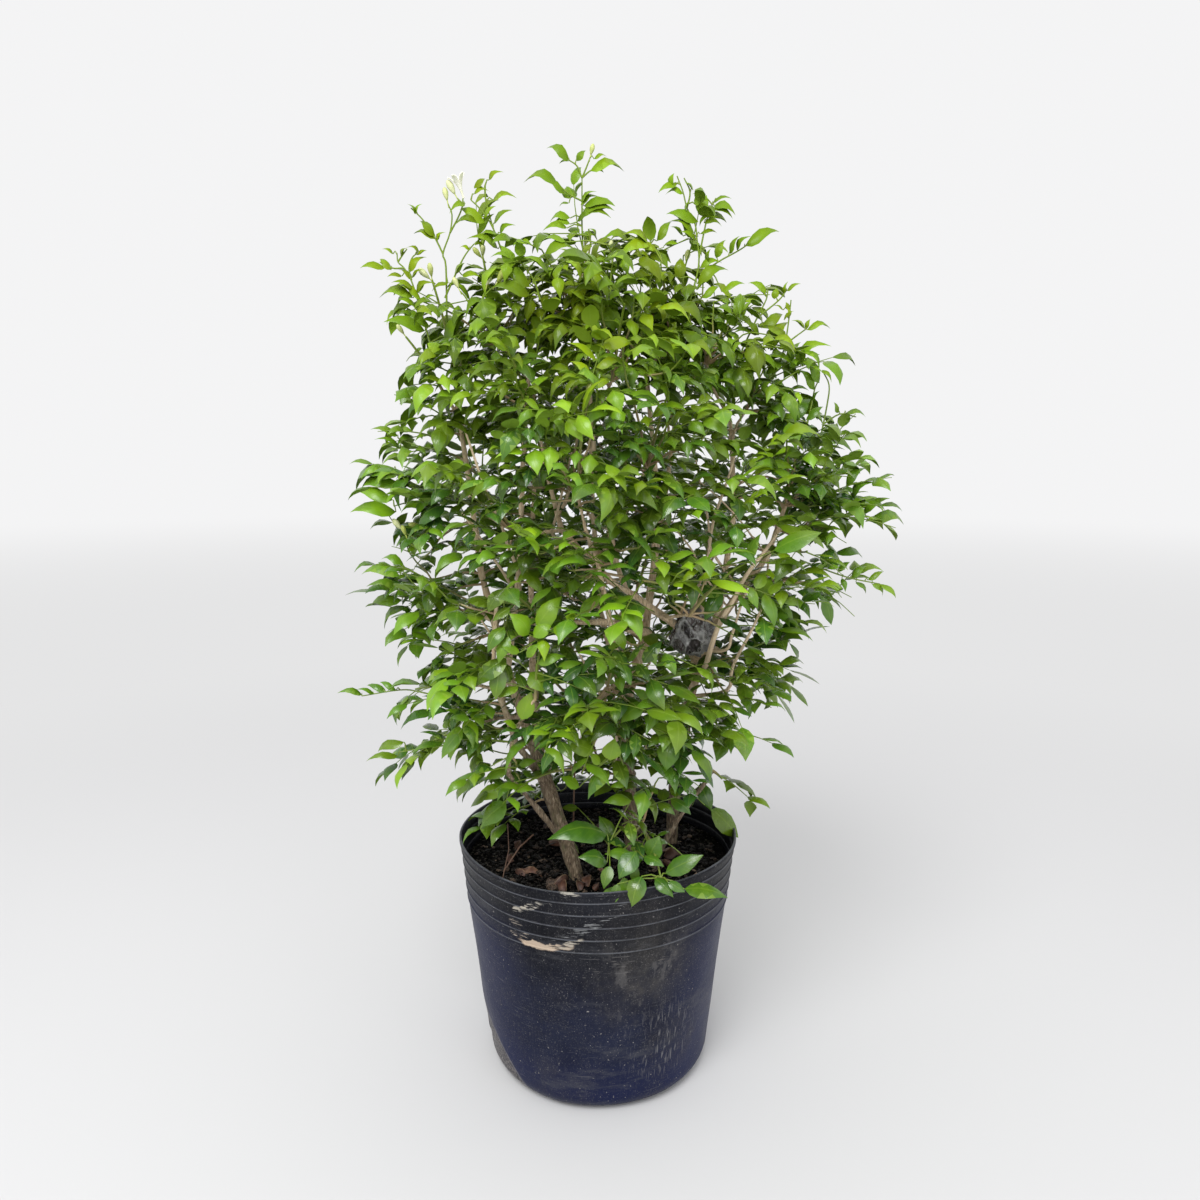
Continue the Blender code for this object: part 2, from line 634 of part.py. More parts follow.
def leaf_sheet(rng):
    """A pinnate leaf as one sheet in its own frame, +X along its rib and +Z up: points, half thicknesses and faces."""
    points, half_thick, faces = [], [], []

    def rib_pair(x):
        for side in (-1, 1):
            shift = PAIR_OFFSET * side if x > 0 else 0
            points.append(Vector((x + shift, RIB_HALF_WIDTH * side, 0)))
            half_thick.append(RIB_HALF_DEEP)
        return len(points) - 2, len(points) - 1

    def blade(low, high, direction, size):
        flat = Vector((0, rng.uniform(-ROLL_STRAY, ROLL_STRAY), 1)).normalized()
        belly_a = len(points)
        corners = blade_corners(
            points[low],
            points[high],
            direction,
            flat,
            LEAFLET_LENGTH * size,
            LEAFLET_HALF_WIDTH * size,
            LEAFLET_DROOP,
        )
        points.extend(corners)
        half_thick.extend([LEAFLET_HALF_THICK, 0, LEAFLET_HALF_THICK])
        tip, belly_b = belly_a + 1, belly_a + 2
        faces.extend([(low, tip, high), (low, belly_a, tip), (high, tip, belly_b)])

    right, left = rib_pair(-RIB_SINK)
    for pair, pair_size in enumerate(PAIR_SIZES):
        size = pair_size * rng.uniform(*SIZE_STRAY)
        turn = LEAFLET_TURN * rng.uniform(*TURN_STRAY)
        for step in (-LEAFLET_BASE, LEAFLET_BASE):
            next_right, next_left = rib_pair(PETIOLE + PAIR_STEP * pair + step)
            faces.extend([(right, next_right, next_left), (right, next_left, left)])
            if step > 0:
                lift = rng.uniform(-LIFT_STRAY, LIFT_STRAY)
                blade(next_left, left, Vector((math.cos(turn), math.sin(turn), lift)).normalized(), size)
                blade(right, next_right, Vector((math.cos(turn), -math.sin(turn), lift)).normalized(), size)
            right, left = next_right, next_left
    end = points[left].x + PAIR_STEP / 2
    for side in (-1, 1):
        points.append(Vector((end, RIB_HALF_WIDTH * side, 0)))
        half_thick.append(RIB_HALF_DEEP)
    next_right, next_left = len(points) - 2, len(points) - 1
    faces.extend([(right, next_right, next_left), (right, next_left, left)])
    blade(next_right, next_left, Vector((1, 0, 0)), 1.0)
    for point in points:
        point.z -= LEAF_ARCH * max(point.x, 0) ** 2
    return points, half_thick, faces


def thickened(points, half_thick, faces, extra=0.0):
    """The closed solid of a sheet: its points moved both ways along their normals, with walls round the edge."""
    normals = [Vector() for _ in points]
    for face in faces:
        a, b, c = (points[i] for i in face[:3])
        square = (b - a).cross(c - a)
        for i in face:
            normals[i] += square
    solid = [p + n.normalized() * (t + extra) for p, n, t in zip(points, normals, half_thick)]
    under = list(range(len(points)))
    for i, (p, n, t) in enumerate(zip(points, normals, half_thick)):
        if t + extra > 0:
            under[i] = len(solid)
            solid.append(p - n.normalized() * (t + extra))
    made = [tuple(face) for face in faces] + [tuple(under[i] for i in reversed(face)) for face in faces]
    edges = {(face[i - 1], face[i]) for face in faces for i in range(len(face))}
    for a, b in sorted(edges):
        if (b, a) not in edges:
            made.append(tuple(dict.fromkeys((a, under[a], under[b], b))))
    return solid, made


def blend(shares, along, outward, sideways):
    growth, out, side, rise = shares
    return along * growth + outward * out + sideways * side + UP * rise


def stray(rng, most):
    return Vector([rng.uniform(-most, most) for _ in range(3)])


def leaf_frame(place, rib, face):
    """The matrix that puts a leaf's root at place, with its rib along rib and its upper side to face."""
    rib = rib.normalized()
    left = face.cross(rib).normalized()
    frame = Matrix((rib, left, rib.cross(left))).transposed().to_4x4()
    frame.translation = place
    return frame


def bud_shape(place, along):
    path = [place + along * BUD_LENGTH * share for share, _ in BUD_PROFILE]
    return tube(path, [BUD_RADIUS * share for _, share in BUD_PROFILE], BUD_SIDES, along, along)


def place_leaf(rng, frame, trees):
    """The solid of one leaf, pitched and yawed until it keeps clear of trees, or None."""
    points, half_thick, faces = leaf_sheet(rng)
    for pitch in LEAF_PITCHES:
        for yaw in LEAF_YAWS:
            turned = frame @ Matrix.Rotation(math.radians(yaw), 4, "Z") @ Matrix.Rotation(math.radians(pitch), 4, "Y")
            moved = [turned @ p for p in points]
            if not crosses(thickened(moved, half_thick, faces, LEAF_CLEAR), trees):
                return thickened(moved, half_thick, faces)
    return None


def make_shoot(index, path, stalk, buds, trees):
    """A green shoot with its leaves and buds as one body, clear of trees. Returns its leaves' own trees."""
    rng = random.Random(LEAF_SEED + index)
    outward = Vector((path[-1].x, path[-1].y, 0)).normalized()
    sideways = UP.cross(outward) * (1 if index % 2 else -1)
    shapes = []
    grown = []
    if index == BLOOM_SHOOT:
        line = pedicel_path(path)
        shapes.append(tube(line, [PEDICEL_RADIUS] * len(line), BUD_SIDES))
    for k, share in enumerate(LEAF_PLACES):
        step = min(int(share * SHOOT_STEPS), SHOOT_STEPS - 1)
        place = path[step].lerp(path[step + 1], share * SHOOT_STEPS - step)
        along = (path[step + 1] - path[step]).normalized()
        rib = blend(SIDE_LEAF if k == 0 else LAST_LEAF_LINE, along, outward, sideways) + stray(rng, RIB_STRAY)
        face = blend(LEAF_FACE, along, outward, sideways) + stray(rng, FACE_STRAY)
        shape = place_leaf(rng, leaf_frame(place, rib, face), trees + grown)
        if shape is None:
            print("shoot", index, "leaf", k, "left out")
            continue
        shapes.append(shape)
        grown.append(tree_of(*shape))
    end_direction = (path[-1] - path[-2]).normalized()
    for k in range(buds):
        lean = across(end_direction)[k] * BUD_LEANS[k]
        shapes.append(bud_shape(path[-1] - end_direction * BUD_STEP * k, (end_direction - lean).normalized()))
    finish = "leaf_young" if buds else "leaf"
    shoot = add_object(f"shoot_{index + 1:02d}", *stalk, finish)
    fuse(shoot, shapes, finish)
    shade_smooth(shoot)
    return grown


def pedicel_path(path):
    """The flower's stalk, from inside the shoot's tip."""
    start = path[-1] - (path[-1] - path[-2]).normalized() * PEDICEL_RADIUS
    return [start, start.lerp(BLOOM_PLACE, 0.5) + PEDICEL_BOW, BLOOM_PLACE]


def make_bloom(stalk_path):
    """The open flower: a short tube and five petals bent back, as one body."""
    along = (stalk_path[-1] - stalk_path[-2]).normalized()
    side = across(along)[0]
    other = along.cross(side)
    throat = BLOOM_PLACE + along * FLOWER_TUBE
    ring = []
    for k in range(PETAL_COUNT):
        turn = math.tau * k / PETAL_COUNT
        ring.append(throat + PETAL_RING * (math.cos(turn) * side + math.sin(turn) * other))
    points, half_thick = list(ring), [PETAL_HALF_THICK] * PETAL_COUNT
    faces = [(0, k, k + 1) for k in range(1, PETAL_COUNT - 1)]
    for k in range(PETAL_COUNT):
        after = (k + 1) % PETAL_COUNT
        outward = ((ring[k] + ring[after]) / 2 - throat).normalized()
        direction = along * math.cos(PETAL_SPREAD) + outward * math.sin(PETAL_SPREAD)
        flat = along * math.sin(PETAL_SPREAD) - outward * math.cos(PETAL_SPREAD)
        belly = len(points)
        points.extend(
            blade_corners(ring[k], ring[after], direction, flat, PETAL_LENGTH, PETAL_HALF_WIDTH, PETAL_DROOP)
        )
        half_thick.extend([PETAL_HALF_THICK, 0, PETAL_HALF_THICK])
        faces.extend([(k, belly + 1, after), (k, belly, belly + 1), (after, belly + 1, belly + 2)])
    tube_path = [BLOOM_PLACE + along * GAP, throat]
    radii = [PEDICEL_RADIUS, THROAT_RADIUS]
    bloom = add_object("bloom", *tube(tube_path, radii, PETAL_COUNT, first=along), "petal")
    fuse(bloom, [thickened(points, half_thick, faces)], "petal")
    shade_smooth(bloom)
    return bloom


def make_wrap():
    """Old plastic crumpled round the sawn limb, cut clear of the wood in it."""
    shell = bmesh.new()
    bmesh.ops.create_icosphere(shell, subdivisions=2, radius=1.0)
    for vertex in shell.verts:
        ray = vertex.co.normalized()
        folds = sum(share * noise.noise(ray * scale + shift) for scale, share, shift in WRAP_FOLDS)
        crumple = 1 + WRAP_CRUMPLE * folds
        vertex.co = WRAP_CENTRE + Vector(r * s for r, s in zip(ray, WRAP_SIZE)) * crumple
    mesh = bpy.data.meshes.new("wound_wrap")
    shell.to_mesh(mesh)
    shell.free()
    mesh.materials.append(material("wrap_plastic"))
    wrap = bpy.data.objects.new("wound_wrap", mesh)
    bpy.context.scene.collection.objects.link(wrap)
    for i, limb in enumerate(STEMS["stem_right"]):
        path = [Vector(p[:3]) for p in limb]
        if i == WRAPPED_LIMB:
            path[-1] += (path[-1] - path[0]).normalized() * WRAP_CLEAR
        hole = tube(path, [p[3] + WRAP_CLEAR for p in limb], STEM_SIDES[min(i, 1)])
        if crosses(hole, [tree_of_object(wrap)]):
            cut(wrap, *hole)
    shade_smooth(wrap)
    return wrap


def wrap_window():
    """The gap in the leaves that shows the wrap from the front."""
    return tube([WRAP_CENTRE, WRAP_CENTRE + WRAP_WINDOW], [WRAP_WINDOW_RADIUS] * 2, STEM_SIDES[0])


def make_stem(name, shapes):
    stem = add_object(name, *shapes[0], "bark")
    fuse(stem, shapes[1:], "bark", "MANIFOLD")  # EXACT leaves open edges where many tubes meet
    shade_smooth(stem)


def main():
    for obj in list(bpy.data.objects):
        bpy.data.objects.remove(obj)
    pot = make_pot()
    soil = make_soil()
    wrap = make_wrap()
    growth = Growth([tree_of_object(obj) for obj in (pot, soil, wrap)])
    paths = []
    shoots = shoot_list()
    for seat, tip, _ in shoots:
        paths.append(growth.add_shoot(seat, tip))
    for name, shapes in growth.wood.items():
        make_stem(name, shapes)
    bloom = make_bloom(pedicel_path(paths[BLOOM_SHOOT]))
    settled = growth.around + [tree for trees in growth.trees.values() for tree in trees]
    settled += [tree_of_object(bloom), tree_of(*wrap_window())]
    stalk_trees = [tree_of(*stalk) for stalk in growth.stalks]
    for index, path in enumerate(paths):
        others = stalk_trees[:index] + stalk_trees[index + 1 :]
        settled += make_shoot(index, path, growth.stalks[index], shoots[index][2], settled + others)


main()
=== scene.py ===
import math
import random

import bmesh
import bpy
import numpy as np
from mathutils import Matrix, Vector, noise
from mathutils.kdtree import KDTree


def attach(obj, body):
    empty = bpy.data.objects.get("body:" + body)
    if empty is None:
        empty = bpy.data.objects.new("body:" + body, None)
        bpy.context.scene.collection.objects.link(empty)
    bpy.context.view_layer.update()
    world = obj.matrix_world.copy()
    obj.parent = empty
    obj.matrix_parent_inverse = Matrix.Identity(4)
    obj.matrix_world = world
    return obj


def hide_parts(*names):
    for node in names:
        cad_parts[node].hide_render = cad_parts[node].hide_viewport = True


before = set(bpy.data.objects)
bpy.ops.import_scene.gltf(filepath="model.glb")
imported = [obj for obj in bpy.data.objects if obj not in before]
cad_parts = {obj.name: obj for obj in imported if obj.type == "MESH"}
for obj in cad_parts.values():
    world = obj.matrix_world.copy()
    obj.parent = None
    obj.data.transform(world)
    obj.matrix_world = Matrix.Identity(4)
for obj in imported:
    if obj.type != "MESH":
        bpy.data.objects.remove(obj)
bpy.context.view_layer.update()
up = Vector((0, 0, 1))

# Camera, light and floor
print("camera, light and floor")


def newObject(name, data):
    made = bpy.data.objects.new(name, data)
    bpy.context.scene.collection.objects.link(made)
    return made


def meshOf(name, shape):
    # Ends a shape in progress and gives its mesh
    made = bpy.data.meshes.new(name)
    shape.to_mesh(made)
    shape.free()
    return made


def storeValues(mesh, name, values, domain="POINT", kind="FLOAT", field="value"):
    mesh.attributes.new(name, kind, domain).data.foreach_set(field, values)


studio = {
    "cameraPlace": (0.003, -1.1, 0.76),
    "pitchDown": 0.16,
    "lens": 27.6,
    "sensor": 36.0,
    "backdrop": (0.905, 0.905, 0.91, 1),
    "floorColour": (0.64, 0.64, 0.644, 1),
    "farFloor": (0.782, 0.782, 0.786, 1),
    "floorRadius": 12.0,
    "floorFade": (0.7, 2.4),  # from lit floor to far floor, out from the pot
    "horizonFade": (3.5, 11.0),  # and on to the backdrop
    "keyPlace": (-0.7, -2.1, 2.9),
    "keySize": 1.7,
    "keyPower": 78,
    "fillPlace": (1.5, -2.4, 1.1),
    "fillSize": 2.4,
    "fillPower": 15,
    "aimHeight": 0.6,
}
eye = Vector(studio["cameraPlace"])


def aimed(place, target):
    return (Vector(target) - Vector(place)).to_track_quat("-Z", "Y").to_euler()


def addLight(name, place, size, power):
    lamp = bpy.data.lights.new(name, "AREA")
    lamp.shape = "DISK"
    lamp.size = size
    lamp.energy = power
    obj = newObject(name, lamp)
    obj.location = place
    obj.rotation_euler = aimed(place, (0, 0, studio["aimHeight"]))


cameraData = bpy.data.cameras.new("camera")
cameraData.sensor_width = studio["sensor"]
cameraData.lens = studio["lens"]
camera = newObject("camera", cameraData)
camera.location = studio["cameraPlace"]
camera.rotation_euler = (math.pi / 2 - studio["pitchDown"], 0, 0)
bpy.context.scene.camera = camera
bpy.context.scene.view_settings.view_transform = "Standard"
addLight("keyLight", studio["keyPlace"], studio["keySize"], studio["keyPower"])
addLight("fillLight", studio["fillPlace"], studio["fillSize"], studio["fillPower"])

world = bpy.data.worlds.new("softRoom")
world.use_nodes = True
world.node_tree.nodes["Background"].inputs["Color"].default_value = studio["backdrop"]
bpy.context.scene.world = world


# Small helpers for material nodes
def newMaterial(name, roughness=0.5):
    made = bpy.data.materials.new(name)
    made.use_nodes = True
    shader = made.node_tree.nodes["Principled BSDF"]
    shader.inputs["Roughness"].default_value = roughness
    return made, made.node_tree, shader


def node(tree, kind, settings=(), inputs=()):
    made = tree.nodes.new(kind)
    for key, value in dict(settings).items():
        setattr(made, key, value)
    for key, value in dict(inputs).items():
        if isinstance(value, bpy.types.NodeSocket):
            tree.links.new(value, made.inputs[key])
        else:
            made.inputs[key].default_value = value
    return made


def objectPlace(tree, stretch=(1, 1, 1), shift=(0, 0, 0), turn=(0, 0, 0)):
    source = node(tree, "ShaderNodeTexCoord").outputs["Object"]
    values = {"Vector": source, "Scale": stretch, "Location": shift, "Rotation": turn}
    return node(tree, "ShaderNodeMapping", {}, values).outputs["Vector"]


def noiseOf(tree, place, scale, detail=4, roughness=0.55):
    values = {"Vector": place, "Scale": scale, "Detail": detail, "Roughness": roughness}
    return node(tree, "ShaderNodeTexNoise", {}, values).outputs["Fac"]


def calc(tree, operation, *values):
    return node(tree, "ShaderNodeMath", {"operation": operation}, dict(enumerate(values))).outputs["Value"]


def times(tree, a, b):
    return calc(tree, "MULTIPLY", a, b)


def plus(tree, a, b):
    return calc(tree, "ADD", a, b)


def measured(tree, operation, *places):
    made = node(tree, "ShaderNodeVectorMath", {"operation": operation}, dict(enumerate(places)))
    return made.outputs["Value"]


def ranged(tree, value, low, high, toLow=0.0, toHigh=1.0):
    values = {"Value": value, "From Min": low, "From Max": high, "To Min": toLow, "To Max": toHigh}
    return node(tree, "ShaderNodeMapRange", {"interpolation_type": "SMOOTHSTEP"}, values).outputs["Result"]


def ramp(tree, value, stops):
    made = node(tree, "ShaderNodeValToRGB", {}, {"Fac": value})
    elements = made.color_ramp.elements
    while len(elements) < len(stops):
        elements.new(0.5)
    for element, (place, colour) in zip(elements, stops):
        element.position = place
        element.color = (*colour, 1)
    return made.outputs["Color"]


def mixed(tree, share, first, second):
    # The two are colours or sockets that give one
    made = node(tree, "ShaderNodeMix", {"data_type": "RGBA"})
    sockets = {s.identifier: s for s in made.inputs}
    for identifier, value in (("Factor_Float", share), ("A_Color", first), ("B_Color", second)):
        if isinstance(value, bpy.types.NodeSocket):
            tree.links.new(value, sockets[identifier])
        else:
            sockets[identifier].default_value = value if identifier == "Factor_Float" else (*value, 1)
    return next(s for s in made.outputs if s.identifier == "Result_Color")


def attribute(tree, name):
    return node(tree, "ShaderNodeAttribute", {"attribute_name": name}).outputs["Fac"]


def bump(tree, shader, height, strength, distance):
    values = {"Height": height, "Strength": strength, "Distance": distance}
    tree.links.new(node(tree, "ShaderNodeBump", {}, values).outputs["Normal"], shader.inputs["Normal"])


# Pale floor that fades into the backdrop away from the pot
floorMaterial, tree, shader = newMaterial("pale floor", 0.85)
shader.inputs["Base Color"].default_value = studio["floorColour"]
reach = measured(tree, "LENGTH", objectPlace(tree))
farShare = ranged(tree, reach, *studio["horizonFade"])
farColour = mixed(tree, farShare, studio["farFloor"][:3], studio["backdrop"][:3])
glow = node(tree, "ShaderNodeEmission", {}, {"Color": farColour})
fade = node(tree, "ShaderNodeMixShader", {}, {"Fac": ranged(tree, reach, *studio["floorFade"])})
tree.links.new(shader.outputs["BSDF"], fade.inputs[1])
tree.links.new(glow.outputs["Emission"], fade.inputs[2])
tree.links.new(fade.outputs["Shader"], tree.nodes["Material Output"].inputs["Surface"])
floorMesh = bmesh.new()
bmesh.ops.create_circle(floorMesh, cap_ends=True, segments=96, radius=studio["floorRadius"])
floor = newObject("floor", meshOf("floor", floorMesh))
floor.data.materials.append(floorMaterial)


# Helpers for meshes
def addPiece(name, points, faces, material):
    mesh = bpy.data.meshes.new(name)
    mesh.from_pydata([tuple(p) for p in points], [], faces)
    mesh.validate()
    mesh.materials.append(material)
    mesh.shade_smooth()
    return newObject(name, mesh)


def bake(piece):
    # Turns the evaluated object into a plain mesh and drops its modifiers
    graph = bpy.context.evaluated_depsgraph_get()
    made = bpy.data.meshes.new_from_object(piece.evaluated_get(graph))
    piece.modifiers.clear()
    piece.data = made


def finishPiece(piece, slot, *nodes):
    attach(piece, "root")
    if nodes:
        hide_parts(*nodes)


def revolved(profile, sides, reshape):
    # A closed solid turned about Z; the profile runs from the axis to the axis
    points, faces, rings = [], [], []
    for radius, height in profile:
        if radius == 0:
            rings.append([len(points)] * sides)
            points.append(reshape(Vector((0, 0, height))))
            continue
        rings.append(list(range(len(points), len(points) + sides)))
        for k in range(sides):
            turn = math.tau * k / sides
            points.append(reshape(Vector((radius * math.cos(turn), radius * math.sin(turn), height))))
    for ring, following in zip(rings, rings[1:]):
        for k in range(sides):
            after = (k + 1) % sides
            face = tuple(dict.fromkeys((ring[k], ring[after], following[after], following[k])))
            if len(face) > 2:
                faces.append(face)
    return points, faces


# The pot, as the source has it, with finer rows
print("pot")
potRule = {
    "height": 0.292,
    "rimRadius": 0.17,
    "baseRadius": 0.139,
    "footRound": 0.024,
    "wall": 0.0018,
    "lipHeight": 0.006,
    "lipProud": 0.0012,
    "rows": 24,
    "rowStep": 0.0071,
    "rings": 5,
    "firstRing": 0.0145,
    "ringStep": 0.0157,
    "ringHalf": 0.0013,
    "ringProud": 0.0011,
    "sides": 240,
    "oval": 0.012,
    "ovalPower": 3,
    "sag": 0.0035,
    "sagPower": 6,
    "wave": 0.6,
    "dentTurn": math.radians(-142),
    "dentHalfTurn": math.radians(34),
    "dentHeight": 0.085,
    "dentDepth": 0.003,
    "ripple": 0.0016,  # of the soft wall
    # A fold in the wall beside the dent: where it starts and ends, and how far the wall beyond it falls back
    "foldStart": (-0.136, 0.076),
    "foldEnd": (-0.076, 0.0),
    "foldDepth": 0.0045,
    "foldSlope": 0.12,
    "foldTop": 0.07,  # the fold fades out above this height
    "foldFade": 0.05,
    "foldWidth": 0.075,  # and beyond this width
    "drains": 4,
    "drainRadius": 0.007,
    "drainCircle": 0.085,
    "sharpTurn": math.radians(50),
}


def softened(point):
    rule = potRule
    turn = math.atan2(point.y, point.x)
    rise = point.z / rule["height"]
    moved = point.copy()
    moved.xy *= 1 + rule["oval"] * rise ** rule["ovalPower"] * math.cos(2 * turn)
    wave = rule["wave"] * math.sin(turn) * math.cos(3 * turn)
    moved.z -= rule["sag"] * rise ** rule["sagPower"] * (math.sin(turn) ** 2 - wave)
    off = abs((turn - rule["dentTurn"] + math.pi) % math.tau - math.pi) / rule["dentHalfTurn"]
    low = 1 - point.z / rule["dentHeight"]
    if off < 1 and low > 0:
        spread = min(1.0, point.xy.length / rule["baseRadius"])
        push = rule["dentDepth"] * math.cos(off * math.pi / 2) * low * spread**2
        moved.xy -= push * Vector((math.cos(turn), math.sin(turn)))
    return moved


def pastFold(x, z):
    # How far a place lies beyond the fold, to its lower left
    (startX, startZ), (endX, endZ) = potRule["foldStart"], potRule["foldEnd"]
    span = math.hypot(endX - startX, endZ - startZ)
    return -((x - startX) * (startZ - endZ) + (z - startZ) * (endX - startX)) / span


def rippled(point):
    # The pot's softened shape, with ripples and the fold
    rule = potRule
    moved = softened(point)
    turn = math.atan2(point.y, point.x)
    lowly = min(1.0, point.z / rule["footRound"])
    spread = min(1.0, point.xy.length / rule["baseRadius"])
    wave = noise.noise(Vector((math.cos(turn), math.sin(turn), point.z * 7)) * 1.7)
    moved.xy += moved.xy.normalized() * rule["ripple"] * wave * lowly * spread**3
    beyond = pastFold(moved.x, moved.z)
    if beyond > 0 and moved.y < 0 and point.z > 0:
        fall = min(rule["foldDepth"], beyond * rule["foldSlope"])
        fade = min(1.0, max(0.0, 1 - (point.z - rule["foldTop"]) / rule["foldFade"]))
        fade *= min(1.0, max(0.0, rule["foldWidth"] / max(beyond, 0.001) - 0.6))
        moved.xy -= moved.xy.normalized() * fall * fade * lowly * spread**3
    return moved


def wallRadius(height):
    rule = potRule
    return rule["baseRadius"] + (rule["rimRadius"] - rule["baseRadius"]) * height / rule["height"]


def footPoints(radius, low, steps):
    bend = potRule["footRound"]
    turns = [math.pi / 2 * i / steps for i in range(steps + 1)]
    return [(radius - bend + bend * math.sin(t), low + bend - bend * math.cos(t)) for t in turns]


def ringRows(inset, proud):
    # Wall rows from the foot to the lip, closer over each raised ring
    rule = potRule
    rows = [rule["footRound"] + rule["rowStep"] * (i + 1) for i in range(rule["rows"])]
    found = [(wallRadius(h) - inset, h) for h in rows]
    for i in reversed(range(rule["rings"])):
        middle = rule["height"] - rule["firstRing"] - rule["ringStep"] * i
        for share in (-3.0, -1.0, -0.6, -0.3, 0.3, 0.6, 1.0, 3.0):
            lift = proud * max(0.0, 1 - share * share)
            height = middle + share * rule["ringHalf"]
            found.append((wallRadius(height) - inset + lift, height))
    return sorted(found, key=lambda row: row[1])


rule = potRule
lip = rule["height"] - rule["lipHeight"]
lipRadius = rule["rimRadius"] + rule["lipProud"]
profile = [(r, 0) for r in (0, 0.03, 0.06, 0.09)] + footPoints(wallRadius(rule["footRound"]), 0, 8)
profile += ringRows(0, rule["ringProud"])
profile += [
    (wallRadius(lip), lip),
    (lipRadius - 0.0002, lip + 0.0006),
    (lipRadius, lip + 0.0016),
    (lipRadius, rule["height"] - 0.0012),
    (lipRadius - 0.0006, rule["height"] - 0.0002),
    (rule["rimRadius"] - rule["wall"] * 0.3, rule["height"]),
    (rule["rimRadius"] - rule["wall"] * 0.8, rule["height"] - 0.0004),
]
inner = ringRows(rule["wall"], rule["ringProud"] * 0.6)
profile += reversed(inner)
profile += reversed(footPoints(wallRadius(rule["footRound"]) - rule["wall"], rule["wall"], 5))
profile += [(0.06, rule["wall"]), (0, rule["wall"])]


potMarks = {
    # Scraped and scuffed places: middle, half sizes, tilt in degrees, how much is left whole, colour
    "scrapes": (
        ((-0.068, -0.152, 0.2165), (0.025, 0.05, 0.0052), 4, 0.38, (0.43, 0.34, 0.26)),
        ((-0.046, -0.16, 0.218), (0.024, 0.05, 0.0044), -9, 0.42, (0.42, 0.34, 0.26)),
        ((-0.032, -0.164, 0.2225), (0.02, 0.05, 0.004), -24, 0.48, (0.34, 0.31, 0.26)),
        ((-0.086, -0.142, 0.224), (0.014, 0.05, 0.004), -4, 0.5, (0.3, 0.26, 0.22)),
        ((-0.088, -0.146, 0.235), (0.016, 0.05, 0.005), 30, 0.56, (0.2, 0.175, 0.15)),
        ((-0.078, -0.15, 0.26), (0.021, 0.05, 0.005), -30, 0.5, (0.34, 0.32, 0.28)),
        ((-0.086, -0.146, 0.2575), (0.012, 0.05, 0.003), -30, 0.44, (0.36, 0.33, 0.28)),
        ((-0.03, -0.167, 0.2865), (0.014, 0.05, 0.003), -6, 0.48, (0.34, 0.32, 0.28)),
        ((-0.014, -0.168, 0.243), (0.046, 0.05, 0.0056), -25, 0.54, (0.16, 0.165, 0.17)),
        ((0.008, -0.168, 0.264), (0.034, 0.05, 0.004), -22, 0.58, (0.13, 0.135, 0.14)),
        ((-0.044, -0.166, 0.278), (0.03, 0.05, 0.004), -30, 0.6, (0.12, 0.12, 0.12)),
        ((0.02, -0.168, 0.188), (0.03, 0.05, 0.01), 12, 0.6, (0.085, 0.082, 0.082)),
        ((0.03, -0.166, 0.2), (0.02, 0.05, 0.012), 40, 0.56, (0.1, 0.096, 0.094)),
        ((0.074, -0.15, 0.196), (0.026, 0.05, 0.01), -10, 0.6, (0.105, 0.096, 0.09)),
    ),
    # Dusty places: middle, radius and strength
    "dusty": (
        ((0.072, -0.148, 0.192), 0.07, 0.85),
        ((0.03, -0.16, 0.16), 0.06, 0.75),
        ((0.04, -0.165, 0.245), 0.06, 0.5),
        ((0.095, -0.12, 0.075), 0.055, 0.45),
        ((-0.05, -0.14, 0.03), 0.06, 0.35),
    ),
}


